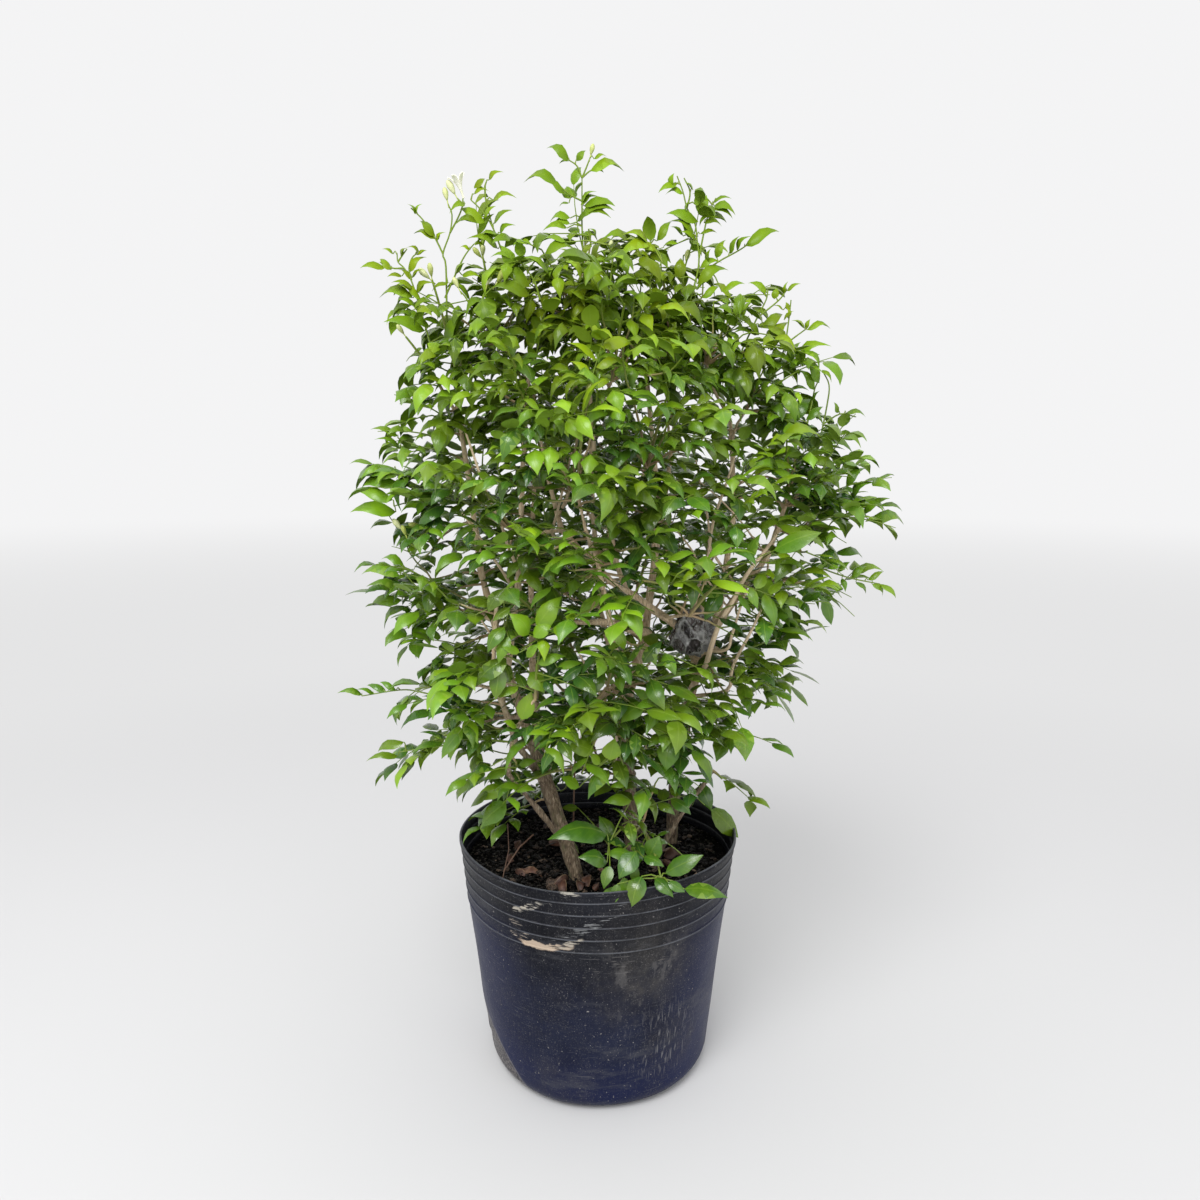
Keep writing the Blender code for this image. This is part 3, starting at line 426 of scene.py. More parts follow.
def makePotMaterial():
    made, tree, shader = newMaterial("black nursery plastic", 0.4)
    shader.inputs["Specular IOR Level"].default_value = 0.11
    place = objectPlace(tree)
    axes = node(tree, "ShaderNodeSeparateXYZ", {}, {0: place})
    x, y, z = (axes.outputs[k] for k in "XYZ")
    clouds = noiseOf(tree, objectPlace(tree, (1, 1, 1.4)), 11, 8, 0.68)
    upper = ramp(tree, clouds, [(0.38, (0.0028, 0.0032, 0.0058)), (0.64, (0.0105, 0.0115, 0.0165))])
    lower = ramp(tree, clouds, [(0.38, (0.004, 0.0058, 0.018)), (0.64, (0.0115, 0.015, 0.036))])
    colour = mixed(tree, ranged(tree, z, 0.225, 0.12), upper, lower)
    # Both sides and the foot are bluer
    blue = times(tree, ranged(tree, calc(tree, "ABSOLUTE", x), 0.06, 0.155), ranged(tree, z, 0.26, 0.18))
    blue = plus(tree, blue, ranged(tree, z, 0.1, 0.02, 0.0, 0.6))
    colour = mixed(tree, calc(tree, "MINIMUM", blue, 0.9), colour, (0.006, 0.01, 0.048))

    def nearTo(centre, inner, outer):
        return ranged(tree, measured(tree, "DISTANCE", place, centre), outer, inner)

    # Dust: a thin film in patches, thicker over some places, and grit beyond the fold
    film = ranged(tree, noiseOf(tree, objectPlace(tree, (1, 1, 0.8), (3, 1, 0)), 22, 9, 0.72), 0.42, 0.72)
    dust = times(tree, film, 0.16)
    for centre, radius, strength in potMarks["dusty"]:
        share = times(tree, nearTo(centre, radius * 0.25, radius), strength)
        dust = plus(tree, dust, times(tree, share, plus(tree, film, 0.3)))
    (startX, startZ), (endX, endZ) = potRule["foldStart"], potRule["foldEnd"]
    span = math.hypot(endX - startX, endZ - startZ)
    beyond = plus(tree, times(tree, plus(tree, x, -startX), (startZ - endZ) / span),
                  times(tree, plus(tree, z, -startZ), (endX - startX) / span))
    frontLeft = times(tree, ranged(tree, x, -0.02, -0.05), ranged(tree, y, 0.03, -0.02))
    folded = times(tree, ranged(tree, beyond, 0.003, -0.002), frontLeft)
    folded = times(tree, folded, ranged(tree, beyond, -0.085, -0.03))
    grit = ranged(tree, noiseOf(tree, objectPlace(tree), 330, 5, 0.8), 0.48, 0.62)
    dust = calc(tree, "MINIMUM", times(tree, dust, 0.52), 1.0)
    colour = mixed(tree, dust, colour, (0.066, 0.062, 0.058))
    gritty = mixed(tree, grit, (0.022, 0.019, 0.02), (0.27, 0.24, 0.225))
    colour = mixed(tree, times(tree, folded, 0.85), colour, gritty)
    edge = times(tree, ranged(tree, calc(tree, "ABSOLUTE", beyond), 0.0018, 0.0), frontLeft)
    colour = mixed(tree, times(tree, edge, 0.6), colour, (0.17, 0.17, 0.19))
    # Fine scratches that run up the wall at the front right, and a few across it
    lines = noiseOf(tree, objectPlace(tree, (480, 480, 22), (0, 0, 2), (0, 0.14, 0)), 1.0, 2, 0.5)
    lines = ranged(tree, lines, 0.565, 0.66)
    marks = times(tree, lines, plus(tree, nearTo((0.078, -0.13, 0.085), 0.02, 0.066), 0.05))
    across = noiseOf(tree, objectPlace(tree, (26, 26, 700), (4, 0, 1), (0, -0.12, 0)), 1.0, 3, 0.55)
    marks = plus(tree, marks, ranged(tree, across, 0.66, 0.72, 0.0, 0.45))
    colour = mixed(tree, times(tree, marks, 0.6), colour, (0.17, 0.168, 0.175))
    # Fine pale peppering, thicker in clouds
    pepper = ranged(tree, noiseOf(tree, objectPlace(tree, (1, 1, 1), (2, 6, 1)), 620, 2, 0.6), 0.58, 0.7)
    pepper = times(tree, pepper, plus(tree, film, 0.3))
    colour = mixed(tree, times(tree, pepper, 0.55), colour, (0.125, 0.12, 0.118))
    smears = noiseOf(tree, objectPlace(tree, (9, 9, 40), (2, 2, 7), (0, 0.5, 0)), 1.0, 6, 0.7)
    colour = mixed(tree, ranged(tree, smears, 0.54, 0.7, 0.0, 0.4), colour, (0.072, 0.074, 0.082))
    patches = noiseOf(tree, objectPlace(tree, (1, 1, 0.7), (0, 3, 9), (0, 0.6, 0)), 34, 7, 0.72)
    patches = times(tree, ranged(tree, patches, 0.53, 0.62), nearTo((0.055, -0.15, 0.175), 0.02, 0.085))
    colour = mixed(tree, times(tree, patches, 0.55), colour, (0.095, 0.092, 0.092))
    # The crests of the rings and the rim are painted pale: partly wear, partly a painted highlight where the
    # raised ridges catch the light
    wearAndHighlight = ranged(tree, noiseOf(tree, objectPlace(tree), 30, 5, 0.7), 0.3, 0.6, 0.35, 1.0)
    crest = times(tree, attribute(tree, "crest"), wearAndHighlight)
    colour = mixed(tree, times(tree, crest, 0.62), colour, (0.14, 0.148, 0.168))
    # Specks of dry soil
    specks = ranged(tree, noiseOf(tree, objectPlace(tree, (1, 1, 1), (5, 5, 5)), 400, 1, 0.4), 0.735, 0.78)
    specks = times(tree, specks, ranged(tree, clouds, 0.4, 0.6, 0.35, 1.0))
    colour = mixed(tree, specks, colour, (0.25, 0.24, 0.23))
    dots = noiseOf(tree, objectPlace(tree, (1, 1, 1), (7, 1, 5)), 760, 1, 0.4)
    colour = mixed(tree, ranged(tree, dots, 0.69, 0.76, 0.0, 0.5), colour, (0.17, 0.165, 0.165))
    # Scraped places under the rings at the front left
    torn = noiseOf(tree, objectPlace(tree, (50, 50, 520), (1, 2, 3), (0, -0.42, 0)), 1.0, 4, 0.62)
    wander = node(tree, "ShaderNodeTexNoise", {}, {"Vector": place, "Scale": 110, "Detail": 4})
    wander = node(tree, "ShaderNodeVectorMath", {"operation": "MULTIPLY_ADD"}, {
        0: wander.outputs["Color"], 1: (0.011, 0, 0.011), 2: (-0.0055, 0, -0.0055)})
    wander = node(tree, "ShaderNodeVectorMath", {"operation": "ADD"}, {0: place, 1: wander.outputs["Vector"]})
    for spot, size, tilt, least, tint in potMarks["scrapes"]:
        near = node(tree, "ShaderNodeMapping", {"vector_type": "TEXTURE"}, {
            "Vector": wander.outputs["Vector"], "Location": spot, "Scale": size,
            "Rotation": (0, math.radians(tilt), 0)}).outputs["Vector"]
        near = ranged(tree, measured(tree, "LENGTH", near), 1.0, 0.7)
        share = times(tree, near, ranged(tree, torn, least, least + 0.06))
        colour = mixed(tree, share, colour, tint)
    tree.links.new(colour, shader.inputs["Base Color"])
    rough = plus(tree, ranged(tree, clouds, 0.3, 0.7, 0.33, 0.45), times(tree, dust, 0.35))
    tree.links.new(rough, shader.inputs["Roughness"])
    fine = noiseOf(tree, objectPlace(tree), 60, 8, 0.68)
    height = plus(tree, fine, times(tree, marks, -0.4))
    bump(tree, shader, height, 0.45, 0.0014)
    return made


potPoints, potFaces = revolved(profile, rule["sides"], rippled)
pot = addPiece("nurseryPot", potPoints, potFaces, makePotMaterial())
for i in range(rule["drains"]):
    turn = math.tau * (i + 0.5) / rule["drains"]
    hole = bmesh.new()
    centre = (rule["drainCircle"] * math.cos(turn), rule["drainCircle"] * math.sin(turn), 0)
    bmesh.ops.create_cone(hole, cap_ends=True, segments=24, radius1=rule["drainRadius"],
                          radius2=rule["drainRadius"], depth=0.016, matrix=Matrix.Translation(centre))
    cutter = newObject("drain", meshOf("drain", hole))
    cut = pot.modifiers.new("drain", "BOOLEAN")
    cut.operation = "DIFFERENCE"
    cut.object = cutter
    bake(pot)
    bpy.data.objects.remove(cutter)
pot.data.shade_smooth()
pot.data.set_sharp_from_angle(angle=rule["sharpTurn"])
# How much each point lies on the crest of a ring, or on the rim
crestOf = KDTree(len(potPoints))
for i, place in enumerate(potPoints):
    crestOf.insert(place, i)
crestOf.balance()
rings = [rule["height"] - rule["firstRing"] - rule["ringStep"] * i for i in range(rule["rings"])]
crestValues = []
for _, height in profile:
    nearest = min(abs(height - ring) for ring in rings) / rule["ringHalf"]
    if nearest < 0.45 or height > rule["height"] - 0.0006:
        crestValues.append(1.0)
    else:
        crestValues.append(0.25 if nearest < 0.7 else 0.0)
rowOf = []
for row, (radius, _) in enumerate(profile):
    rowOf += [row] * (1 if radius == 0 else rule["sides"])
values = [crestValues[rowOf[crestOf.find(vertex.co)[1]]] for vertex in pot.data.vertices]
storeValues(pot.data, "crest", values)
finishPiece(pot, "pot_plastic", "pot")

# Soil, its top crumbly; the chips and fallen leaves on it come further down
print("soil")
soilRule = {
    "drop": 0.038,
    "moundHeight": 0.006,
    "moundRadius": 0.09,
    "crumbHeight": 0.007,
    "crumbScale": 38,
    "grainHeight": 0.006,
    "grainScale": 120,
    "clear": 0.0006,
    "floorGap": 0.0003,
    "footSteps": 4,
    "rowHeights": (0.0425, 0.064, 0.085, 0.14, 0.2),
    "rings": 84,
    "sides": 280,
}


def soilTop(x, y):
    rule = soilRule
    level = potRule["height"] - rule["drop"]
    across = math.hypot(x, y)
    mound = rule["moundHeight"] * math.exp(-((across / rule["moundRadius"]) ** 2))
    lumps = rule["crumbHeight"] * noise.noise(Vector((x, y, 0)) * rule["crumbScale"])
    grains = noise.turbulence(Vector((x, y, 3)) * rule["grainScale"], 4, True) * rule["grainHeight"] - 0.003
    return level + mound + lumps + grains


def makeSoilMaterial():
    made, tree, shader = newMaterial("potting mix", 0.95)
    shader.inputs["Specular IOR Level"].default_value = 0.04
    grains = noiseOf(tree, objectPlace(tree), 250, 5, 0.72)
    patches = noiseOf(tree, objectPlace(tree), 40, 4, 0.6)
    # The palest grains are partly pale specks in the mix, partly painted glints
    colour = ramp(tree, grains, [(0.42, (0.001, 0.0009, 0.0009)), (0.56, (0.006, 0.0054, 0.005)),
                                 (0.63, (0.14, 0.126, 0.11))])
    colour = mixed(tree, ranged(tree, patches, 0.45, 0.75), colour, (0.006, 0.0055, 0.005))
    tree.links.new(colour, shader.inputs["Base Color"])
    bump(tree, shader, grains, 0.9, 0.005)
    return made


rule = soilRule
level = potRule["height"] - rule["drop"]
inset = potRule["wall"] + rule["clear"]
edge = wallRadius(level) - inset
lowest = potRule["wall"] + rule["floorGap"]
profile = [(0, lowest)]
profile += footPoints(wallRadius(potRule["footRound"]) - inset, lowest, rule["footSteps"])
profile += [(wallRadius(h) - inset, h) for h in rule["rowHeights"]] + [(edge, level)]
profile += [(edge * (1 - (i + 1) / (rule["rings"] + 1)), level) for i in range(rule["rings"])] + [(0, level)]


def soilShape(point):
    moved = rippled(point)
    if point.z == level and point.xy.length < edge - rule["clear"]:
        moved.z = soilTop(moved.x, moved.y)
    return moved


soil = addPiece("pottingMix", *revolved(profile, rule["sides"], soilShape), makeSoilMaterial())
finishPiece(soil, "soil", "soil")

# Woody stems: each stem of the source, meshed finely, rounded, and given bark
print("stems")
stemRule = {
    "voxel": 0.0013,
    "smoothing": 6,
    "swell": 0.0004,
    "barkDeep": 0.0007,
    "barkAcross": 420,
    "barkAlong": 70,
    "knotDeep": 0.0011,
    "knotScale": 60,
    "smoothAbove": 0.45,  # the bark grows smoother above this height
    "weld": 0.00001,
}


def makeBarkMaterial():
    made, tree, shader = newMaterial("jasmine bark", 0.85)
    place = objectPlace(tree)
    z = node(tree, "ShaderNodeSeparateXYZ", {}, {0: place}).outputs["Z"]
    grain = noiseOf(tree, objectPlace(tree, (1, 1, 0.18)), 520, 5, 0.65)
    patch = noiseOf(tree, objectPlace(tree, (1, 1, 0.5)), 60, 4, 0.6)
    # Dark old bark low down, pale young bark higher up; the young bark is also painted paler as painted
    # light, to lift limbs that stand in the canopy's shade
    old = ramp(tree, grain, [(0.34, (0.055, 0.04, 0.027)), (0.52, (0.19, 0.138, 0.088)),
                             (0.7, (0.43, 0.345, 0.245))])
    young = ramp(tree, grain, [(0.34, (0.44, 0.315, 0.19)), (0.52, (0.8, 0.61, 0.4)),
                               (0.7, (0.9, 0.78, 0.59))])
    colour = mixed(tree, ranged(tree, z, 0.38, 0.54), old, young)
    moss = times(tree, ranged(tree, patch, 0.52, 0.7), ranged(tree, z, 0.52, 0.34))
    colour = mixed(tree, times(tree, moss, 0.7), colour, (0.085, 0.1, 0.036))
    pale = ranged(tree, noiseOf(tree, objectPlace(tree, (1, 1, 0.6), (1, 4, 2)), 150, 4, 0.6), 0.58, 0.7)
    colour = mixed(tree, times(tree, pale, 0.55), colour, (0.44, 0.39, 0.29))
    # Thin limbs are paler: partly their young bark, partly painted light that lifts them out of the canopy's
    # shade
    colour = mixed(tree, times(tree, attribute(tree, "wooden"), 0.7), colour, (0.88, 0.69, 0.48))
    tree.links.new(colour, shader.inputs["Base Color"])
    bump(tree, shader, grain, 0.6, 0.0015)
    return made


def fineStem(nodeName, pieceName, material):
    rule = stemRule
    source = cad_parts[nodeName].data.copy()
    work = bmesh.new()
    work.from_mesh(source)
    bmesh.ops.remove_doubles(work, verts=work.verts, dist=rule["weld"])
    work.to_mesh(source)
    work.free()
    source.materials.clear()
    source.materials.append(material)
    piece = newObject(pieceName, source)
    fine = piece.modifiers.new("fine", "REMESH")
    fine.mode = "VOXEL"
    fine.voxel_size = rule["voxel"]
    soft = piece.modifiers.new("soft", "SMOOTH")
    soft.factor = 0.5
    soft.iterations = rule["smoothing"]
    bake(piece)
    mesh = piece.data
    count = len(mesh.vertices)
    places = np.empty(count * 3)
    normals = np.empty(count * 3)
    mesh.vertices.foreach_get("co", places)
    mesh.vertex_normals.foreach_get("vector", normals)
    places, normals = places.reshape(-1, 3), normals.reshape(-1, 3)
    for i, (x, y, z) in enumerate(places):
        bark = noise.noise(Vector((x * rule["barkAcross"], y * rule["barkAcross"], z * rule["barkAlong"])))
        knot = noise.noise(Vector((x, y, z)) * rule["knotScale"])
        low = 1.0 if z < rule["smoothAbove"] else max(0.25, 1 - (z - rule["smoothAbove"]) * 3)
        places[i] += normals[i] * (rule["swell"] + low * (rule["barkDeep"] * bark + rule["knotDeep"] * knot))
    mesh.vertices.foreach_set("co", places.ravel())
    mesh.shade_smooth()
    finishPiece(piece, "bark", nodeName)
    return places


bark = makeBarkMaterial()
woodPlaces = np.concatenate([
    fineStem("stem_left", "leftStem", bark),
    fineStem("stem_centre", "centreStem", bark),
    fineStem("stem_right", "rightStem", bark),
    fineStem("stem_young", "youngStem", bark),
])
wood = KDTree(len(woodPlaces))
for i, place in enumerate(woodPlaces):
    wood.insert(place, i)
wood.balance()

# Leaflets: thin lens-shaped blades, arched along the midrib, in a few kinds
print("leaflets")
leafletRule = {
    "stations": (0.0, 0.12, 0.31, 0.53, 0.74, 0.9, 1.0),
    "halfWidths": (0.0, 0.16, 0.258, 0.256, 0.166, 0.062, 0.0),
    "thick": 0.01,
    # Drop of the edges, bow of the midrib, hook of the tip, twist and sideways bend
    "kinds": (
        (0.22, 0.06, 0.12, 0.3, 0.05), (0.32, 0.1, 0.24, -0.25, -0.05), (0.45, 0.13, 0.36, 0.05, 0.03),
        (0.62, 0.16, 0.5, 0.3, -0.04), (0.8, 0.19, 0.66, -0.35, 0.06), (1.0, 0.22, 0.8, 0.2, -0.05),
        (0.95, 0.15, 0.48, -0.15, 0.04),
    ),
}
leafletKinds = bpy.data.collections.new("leafletKinds")


def leafletMesh(index, fold, bow, hook, twist, bend):
    rule = leafletRule
    points, faces, under, across, along = [], [], [], [], []
    middles, lefts, rights, lowers = [], [], [], []
    last = len(rule["stations"]) - 1
    for k, (t, half) in enumerate(zip(rule["stations"], rule["halfWidths"])):
        rise = bow * 4 * t * (1 - t) - hook * max(0.0, t - 0.45) ** 2 * 2
        roll = twist * (t - 0.3)
        side = Vector((0.1 * (t - 0.5), math.cos(roll), math.sin(roll)))
        centre = Vector((t, 0.01 * math.sin(6 * t + index) + bend * t * t, rise))
        drop = up * fold * half
        rows = [(middles, centre, 0.0)]
        if 0 < k < last:
            rows += [
                (lefts, centre + side * half - drop, 1.0),
                (rights, centre - side * half - drop, -1.0),
                (lowers, centre - up * rule["thick"], 0.0),
            ]
        for row, point, share in rows:
            row.append(len(points))
            points.append(point)
            across.append(share)
            along.append(t)
    ends = middles[0], middles[-1]
    lefts, rights, lowers = ([ends[0], *row, ends[1]] for row in (lefts, rights, lowers))
    for a, b in zip(range(last), range(1, last + 1)):
        for middle, isUnder in ((middles, 0), (lowers, 1)):
            left = middle[a], middle[b], lefts[b], lefts[a]
            right = rights[a], rights[b], middle[b], middle[a]
            for face in (left, right):
                face = tuple(dict.fromkeys(face))
                faces.append(face[::-1] if isUnder else face)
                under.append(isUnder)
    mesh = bpy.data.meshes.new(f"leaflet{index}")
    mesh.from_pydata([tuple(p) for p in points], [], faces)
    rim = {tuple(sorted(pair)) for row in (lefts, rights) for pair in zip(row, row[1:])}
    mesh.shade_smooth()
    for meshEdge in mesh.edges:
        meshEdge.use_edge_sharp = tuple(sorted(meshEdge.vertices)) in rim
    for name, domain, values in (
        ("under", "FACE", under), ("across", "POINT", across), ("along", "POINT", along),
        ("blade", "POINT", [1.0] * len(points)),
    ):
        storeValues(mesh, name, values, domain)
    leafletKinds.objects.link(bpy.data.objects.new(f"leaflet{index}", mesh))


for index, kind in enumerate(leafletRule["kinds"]):
    leafletMesh(index, *kind)


def makeLeafMaterial():
    made, tree, shader = newMaterial("orange jasmine leaf", 0.35)
    z = node(tree, "ShaderNodeSeparateXYZ", {}, {0: objectPlace(tree)}).outputs["Z"]
    tree.links.new(ranged(tree, z, 0.74, 0.92, 0.52, 0.17), shader.inputs["Specular IOR Level"])
    age, shade, blade, wooden, under, across, along = (
        attribute(tree, name) for name in ("young", "shade", "blade", "wooden", "under", "across", "along")
    )
    cloud = noiseOf(tree, objectPlace(tree), 90, 3, 0.5)
    tone = plus(tree, age, ranged(tree, cloud, 0.3, 0.7, -0.06, 0.06))
    leaf = ramp(tree, tone, [(0.0, (0.03, 0.09, 0.015)), (0.18, (0.056, 0.146, 0.013)),
                             (0.4, (0.102, 0.226, 0.011)), (0.65, (0.166, 0.318, 0.008)),
                             (1.0, (0.262, 0.41, 0.009))])
    # Some of the growth, and more of it towards the top, is olive
    olive = noiseOf(tree, objectPlace(tree, (1, 1, 1), (7, 2, 0)), 11, 3, 0.5)
    olive = ranged(tree, olive, 0.42, 0.62, 0.0, 0.4)
    olive = plus(tree, olive, ranged(tree, z, 0.72, 0.95, 0.0, 0.36))
    leaf = mixed(tree, olive, leaf, (0.16, 0.205, 0.003))
    # Midrib, and side veins that sweep towards the tip
    width = calc(tree, "ABSOLUTE", across)
    rib = ranged(tree, width, 0.1, 0.02)
    sweep = calc(tree, "SUBTRACT", times(tree, along, 9.0), times(tree, width, 2.2))
    vein = ranged(tree, calc(tree, "PINGPONG", sweep, 0.5), 0.07, 0.0)
    veined = calc(tree, "MAXIMUM", times(tree, rib, 0.3), times(tree, vein, 0.1))
    leaf = mixed(tree, veined, leaf, (0.24, 0.36, 0.04))
    # Undersides are paler: partly their own paler colour, partly painted light standing in for light through
    # the leaf
    leaf = mixed(tree, times(tree, under, 0.62), leaf, (0.185, 0.3, 0.02))
    stalk = mixed(tree, wooden, (0.15, 0.225, 0.02), (0.42, 0.3, 0.17))
    colour = mixed(tree, blade, stalk, leaf)
    tinted = node(tree, "ShaderNodeHueSaturation", {}, {"Color": colour})
    # Each leaf's own random tone, times a painted light that makes leaves near the top up to a tenth brighter
    light = times(tree, ranged(tree, shade, 0.0, 1.0, 0.8, 1.26), ranged(tree, z, 0.78, 0.96, 1.0, 1.1))
    tree.links.new(light, tinted.inputs["Value"])
    tree.links.new(tinted.outputs["Color"], shader.inputs["Base Color"])
    rough = plus(tree, ranged(tree, tone, 0.05, 0.45, 0.17, 0.34), times(tree, under, 0.24))
    tree.links.new(rough, shader.inputs["Roughness"])
    height = calc(tree, "SUBTRACT", times(tree, cloud, 0.4), times(tree, veined, 1.0))
    bump(tree, shader, height, 0.35, 0.001)
    return made


leafMaterial = makeLeafMaterial()


def makeShootTree():
    # Blades stand on the loose points, and stalks follow the edges
    tree = bpy.data.node_groups.new("leafyShoots", "GeometryNodeTree")
    for name, kind in (("Geometry", "Geometry"), ("Leaflet kinds", "Collection"), ("Stalk sides", "Int"),
                       ("Leaf size", "Float"), ("Finish", "Material")):
        tree.interface.new_socket(name, in_out="INPUT", socket_type="NodeSocket" + kind)
    tree.interface.new_socket("Geometry", in_out="OUTPUT", socket_type="NodeSocketGeometry")
    given = tree.nodes.new("NodeGroupInput")
    out = tree.nodes.new("NodeGroupOutput")

    def named(name, kind):
        made = node(tree, "GeometryNodeInputNamedAttribute", {"data_type": kind}, {"Name": name})
        return made.outputs["Attribute"]

    parts = node(tree, "GeometryNodeSeparateGeometry", {"domain": "POINT"},
                 {"Geometry": given.outputs["Geometry"], "Selection": named("onStalk", "BOOLEAN")})
    kinds = node(tree, "GeometryNodeCollectionInfo", {}, {
        "Collection": given.outputs["Leaflet kinds"], "Separate Children": True, "Reset Children": True})
    blades = node(tree, "GeometryNodeInstanceOnPoints", {}, {
        "Points": parts.outputs["Inverted"], "Instance": kinds.outputs["Instances"], "Pick Instance": True,
        "Instance Index": named("kind", "INT"), "Rotation": named("turn", "QUATERNION")})
    sized = node(tree, "ShaderNodeVectorMath", {"operation": "SCALE"}, {0: named("size", "FLOAT_VECTOR")})
    tree.links.new(given.outputs["Leaf size"], sized.inputs["Scale"])
    tree.links.new(sized.outputs["Vector"], blades.inputs["Scale"])
    curves = node(tree, "GeometryNodeMeshToCurve", {}, {"Mesh": parts.outputs["Selection"]})
    circle = node(tree, "GeometryNodeCurvePrimitiveCircle", {"mode": "RADIUS"},
                  {"Resolution": given.outputs["Stalk sides"], "Radius": 1.0})
    stalks = node(tree, "GeometryNodeCurveToMesh", {}, {
        "Curve": curves.outputs["Curve"], "Profile Curve": circle.outputs["Curve"],
        "Scale": named("thick", "FLOAT"), "Fill Caps": True})
    smooth = node(tree, "GeometryNodeSetShadeSmooth", {}, {"Geometry": stalks.outputs["Mesh"]})
    joined = tree.nodes.new("GeometryNodeJoinGeometry")
    tree.links.new(smooth.outputs["Geometry"], joined.inputs["Geometry"])
    tree.links.new(blades.outputs["Instances"], joined.inputs["Geometry"])
    whole = node(tree, "GeometryNodeRealizeInstances", {}, {"Geometry": joined.outputs["Geometry"]})
    coloured = node(tree, "GeometryNodeSetMaterial", {},
                    {"Geometry": whole.outputs["Geometry"], "Material": given.outputs["Finish"]})
    tree.links.new(coloured.outputs["Geometry"], out.inputs["Geometry"])
    return tree


shootTree = makeShootTree()


def grown(name, store, finish, kinds):
    # One piece from the blades and stalks gathered in store
    blades, stalkPoints = store["blades"], [p for line in store["stalks"] for p in line]
    mesh = bpy.data.meshes.new(name)
    edges, first = [], len(blades)
    for line in store["stalks"]:
        edges += [(first + i, first + i + 1) for i in range(len(line) - 1)]
        first += len(line)
    places = [tuple(b["place"]) for b in blades] + [tuple(p[0]) for p in stalkPoints]
    mesh.from_pydata(places, edges, [])
    bare, rest = [0.0] * len(blades), len(stalkPoints)
    columns = (
        ("onStalk", "BOOLEAN", [False] * len(blades) + [True] * rest, "value"),
        ("kind", "INT", [b["kind"] for b in blades] + [0] * rest, "value"),
        ("turn", "QUATERNION", [v for b in blades for v in b["turn"]] + [1.0, 0, 0, 0] * rest, "value"),
        ("size", "FLOAT_VECTOR", [v for b in blades for v in b["size"]] + [1.0] * 3 * rest, "vector"),
        ("thick", "FLOAT", bare + [p[1] for p in stalkPoints], "value"),
        ("wooden", "FLOAT", bare + [p[2] for p in stalkPoints], "value"),
        ("young", "FLOAT", [b["young"] for b in blades] + [0.5] * rest, "value"),
        ("shade", "FLOAT", [b["shade"] for b in blades] + [0.5] * rest, "value"),
    )
    for key, kind, values, field in columns:
        storeValues(mesh, key, values, "POINT", kind, field)
    piece = newObject(name, mesh)
    modifier = piece.modifiers.new("grow", "NODES")
    modifier.node_group = shootTree
    values = {"Leaflet kinds": kinds, "Stalk sides": 5, "Leaf size": 1.0, "Finish": finish}
    for socket in shootTree.interface.items_tree:
        if socket.in_out == "INPUT" and socket.name in values:
            modifier[socket.identifier] = values[socket.name]
    bake(piece)
    return piece


# Where the shoots stand, as the source has it. The canopy holds a height, then its reach there to the left,
# right, front and back
canopy = (
    (0.34, 0.2, 0.18, 0.2, 0.18),
    (0.43, 0.27, 0.23, 0.24, 0.23),
    (0.55, 0.27, 0.31, 0.26, 0.25),
    (0.66, 0.29, 0.36, 0.28, 0.27),
    (0.76, 0.27, 0.34, 0.27, 0.26),
    (0.86, 0.25, 0.29, 0.24, 0.23),
    (0.95, 0.25, 0.23, 0.19, 0.19),
    (1.03, 0.18, 0.15, 0.13, 0.13),
    (1.09, 0.07, 0.05, 0.05, 0.05),
)
shootRule = {
    # Seat and end of each shoot that makes the outline, and how many buds it bears
    "outline": (
        ((-0.158, -0.044, 0.85), (-0.2, -0.062, 1.03), 2),
        ((-0.112, -0.036, 0.88), (-0.138, -0.05, 1.056), 2),
        ((-0.018, -0.004, 0.91), (-0.014, 0.0, 1.076), 1),
        ((0.09, 0.01, 0.88), (0.112, 0.004, 1.06), 1),
        ((0.126, -0.01, 0.86), (0.2, -0.024, 1.0), 0),
        ((0.176, 0.004, 0.81), (0.262, -0.01, 0.915), 0),
        ((0.19, 0.02, 0.73), (0.302, 0.02, 0.815), 0),
        ((0.232, -0.05, 0.672), (0.35, -0.05, 0.722), 0),
        ((0.226, -0.046, 0.61), (0.354, -0.04, 0.598), 0),
        ((0.176, 0.01, 0.5), (0.276, 0.01, 0.486), 0),
        ((-0.17, -0.04, 0.82), (-0.262, -0.04, 0.96), 1),
        ((-0.162, 0.0, 0.752), (-0.264, 0.0, 0.79), 0),
        ((-0.17, -0.034, 0.672), (-0.29, -0.04, 0.686), 1),
        ((-0.168, 0.004, 0.57), (-0.28, 0.0, 0.588), 0),
        ((-0.19, 0.0, 0.474), (-0.312, 0.0, 0.464), 0),
        ((-0.158, -0.03, 0.43), (-0.28, -0.036, 0.386), 0),
        ((-0.02, -0.16, 0.72), (-0.004, -0.196, 0.9), 1),
        ((-0.066, -0.146, 0.5), (-0.056, -0.21, 0.62), 0),
        ((0.052, -0.078, 0.326), (0.07, -0.2, 0.312), 0),
        ((0.142, -0.03, 0.376), (0.214, -0.07, 0.318), 0),
    ),
    "tiers": ((0.43, 2), (0.51, 16), (0.6, 28), (0.69, 38), (0.78, 46), (0.87, 54), (0.96, 64)),
    "turns": (-122, -70, 60, 112),
    "swing": 12,
    "turnStray": 0.15,
    "heightStray": 0.03,
    "riseStray": 8,
    "reach": 0.96,
    "seed": 15,
    "length": 0.085,
    "lastLeaf": 0.088,
    "bow": 0.06,
    "leafPlaces": (0.42, 0.97),
    "root": 0.002,
    "end": 0.0012,
    "sink": 0.003,
    "fineSeed": 9000,
    "extraLeaves": (0.16, 0.7),
}
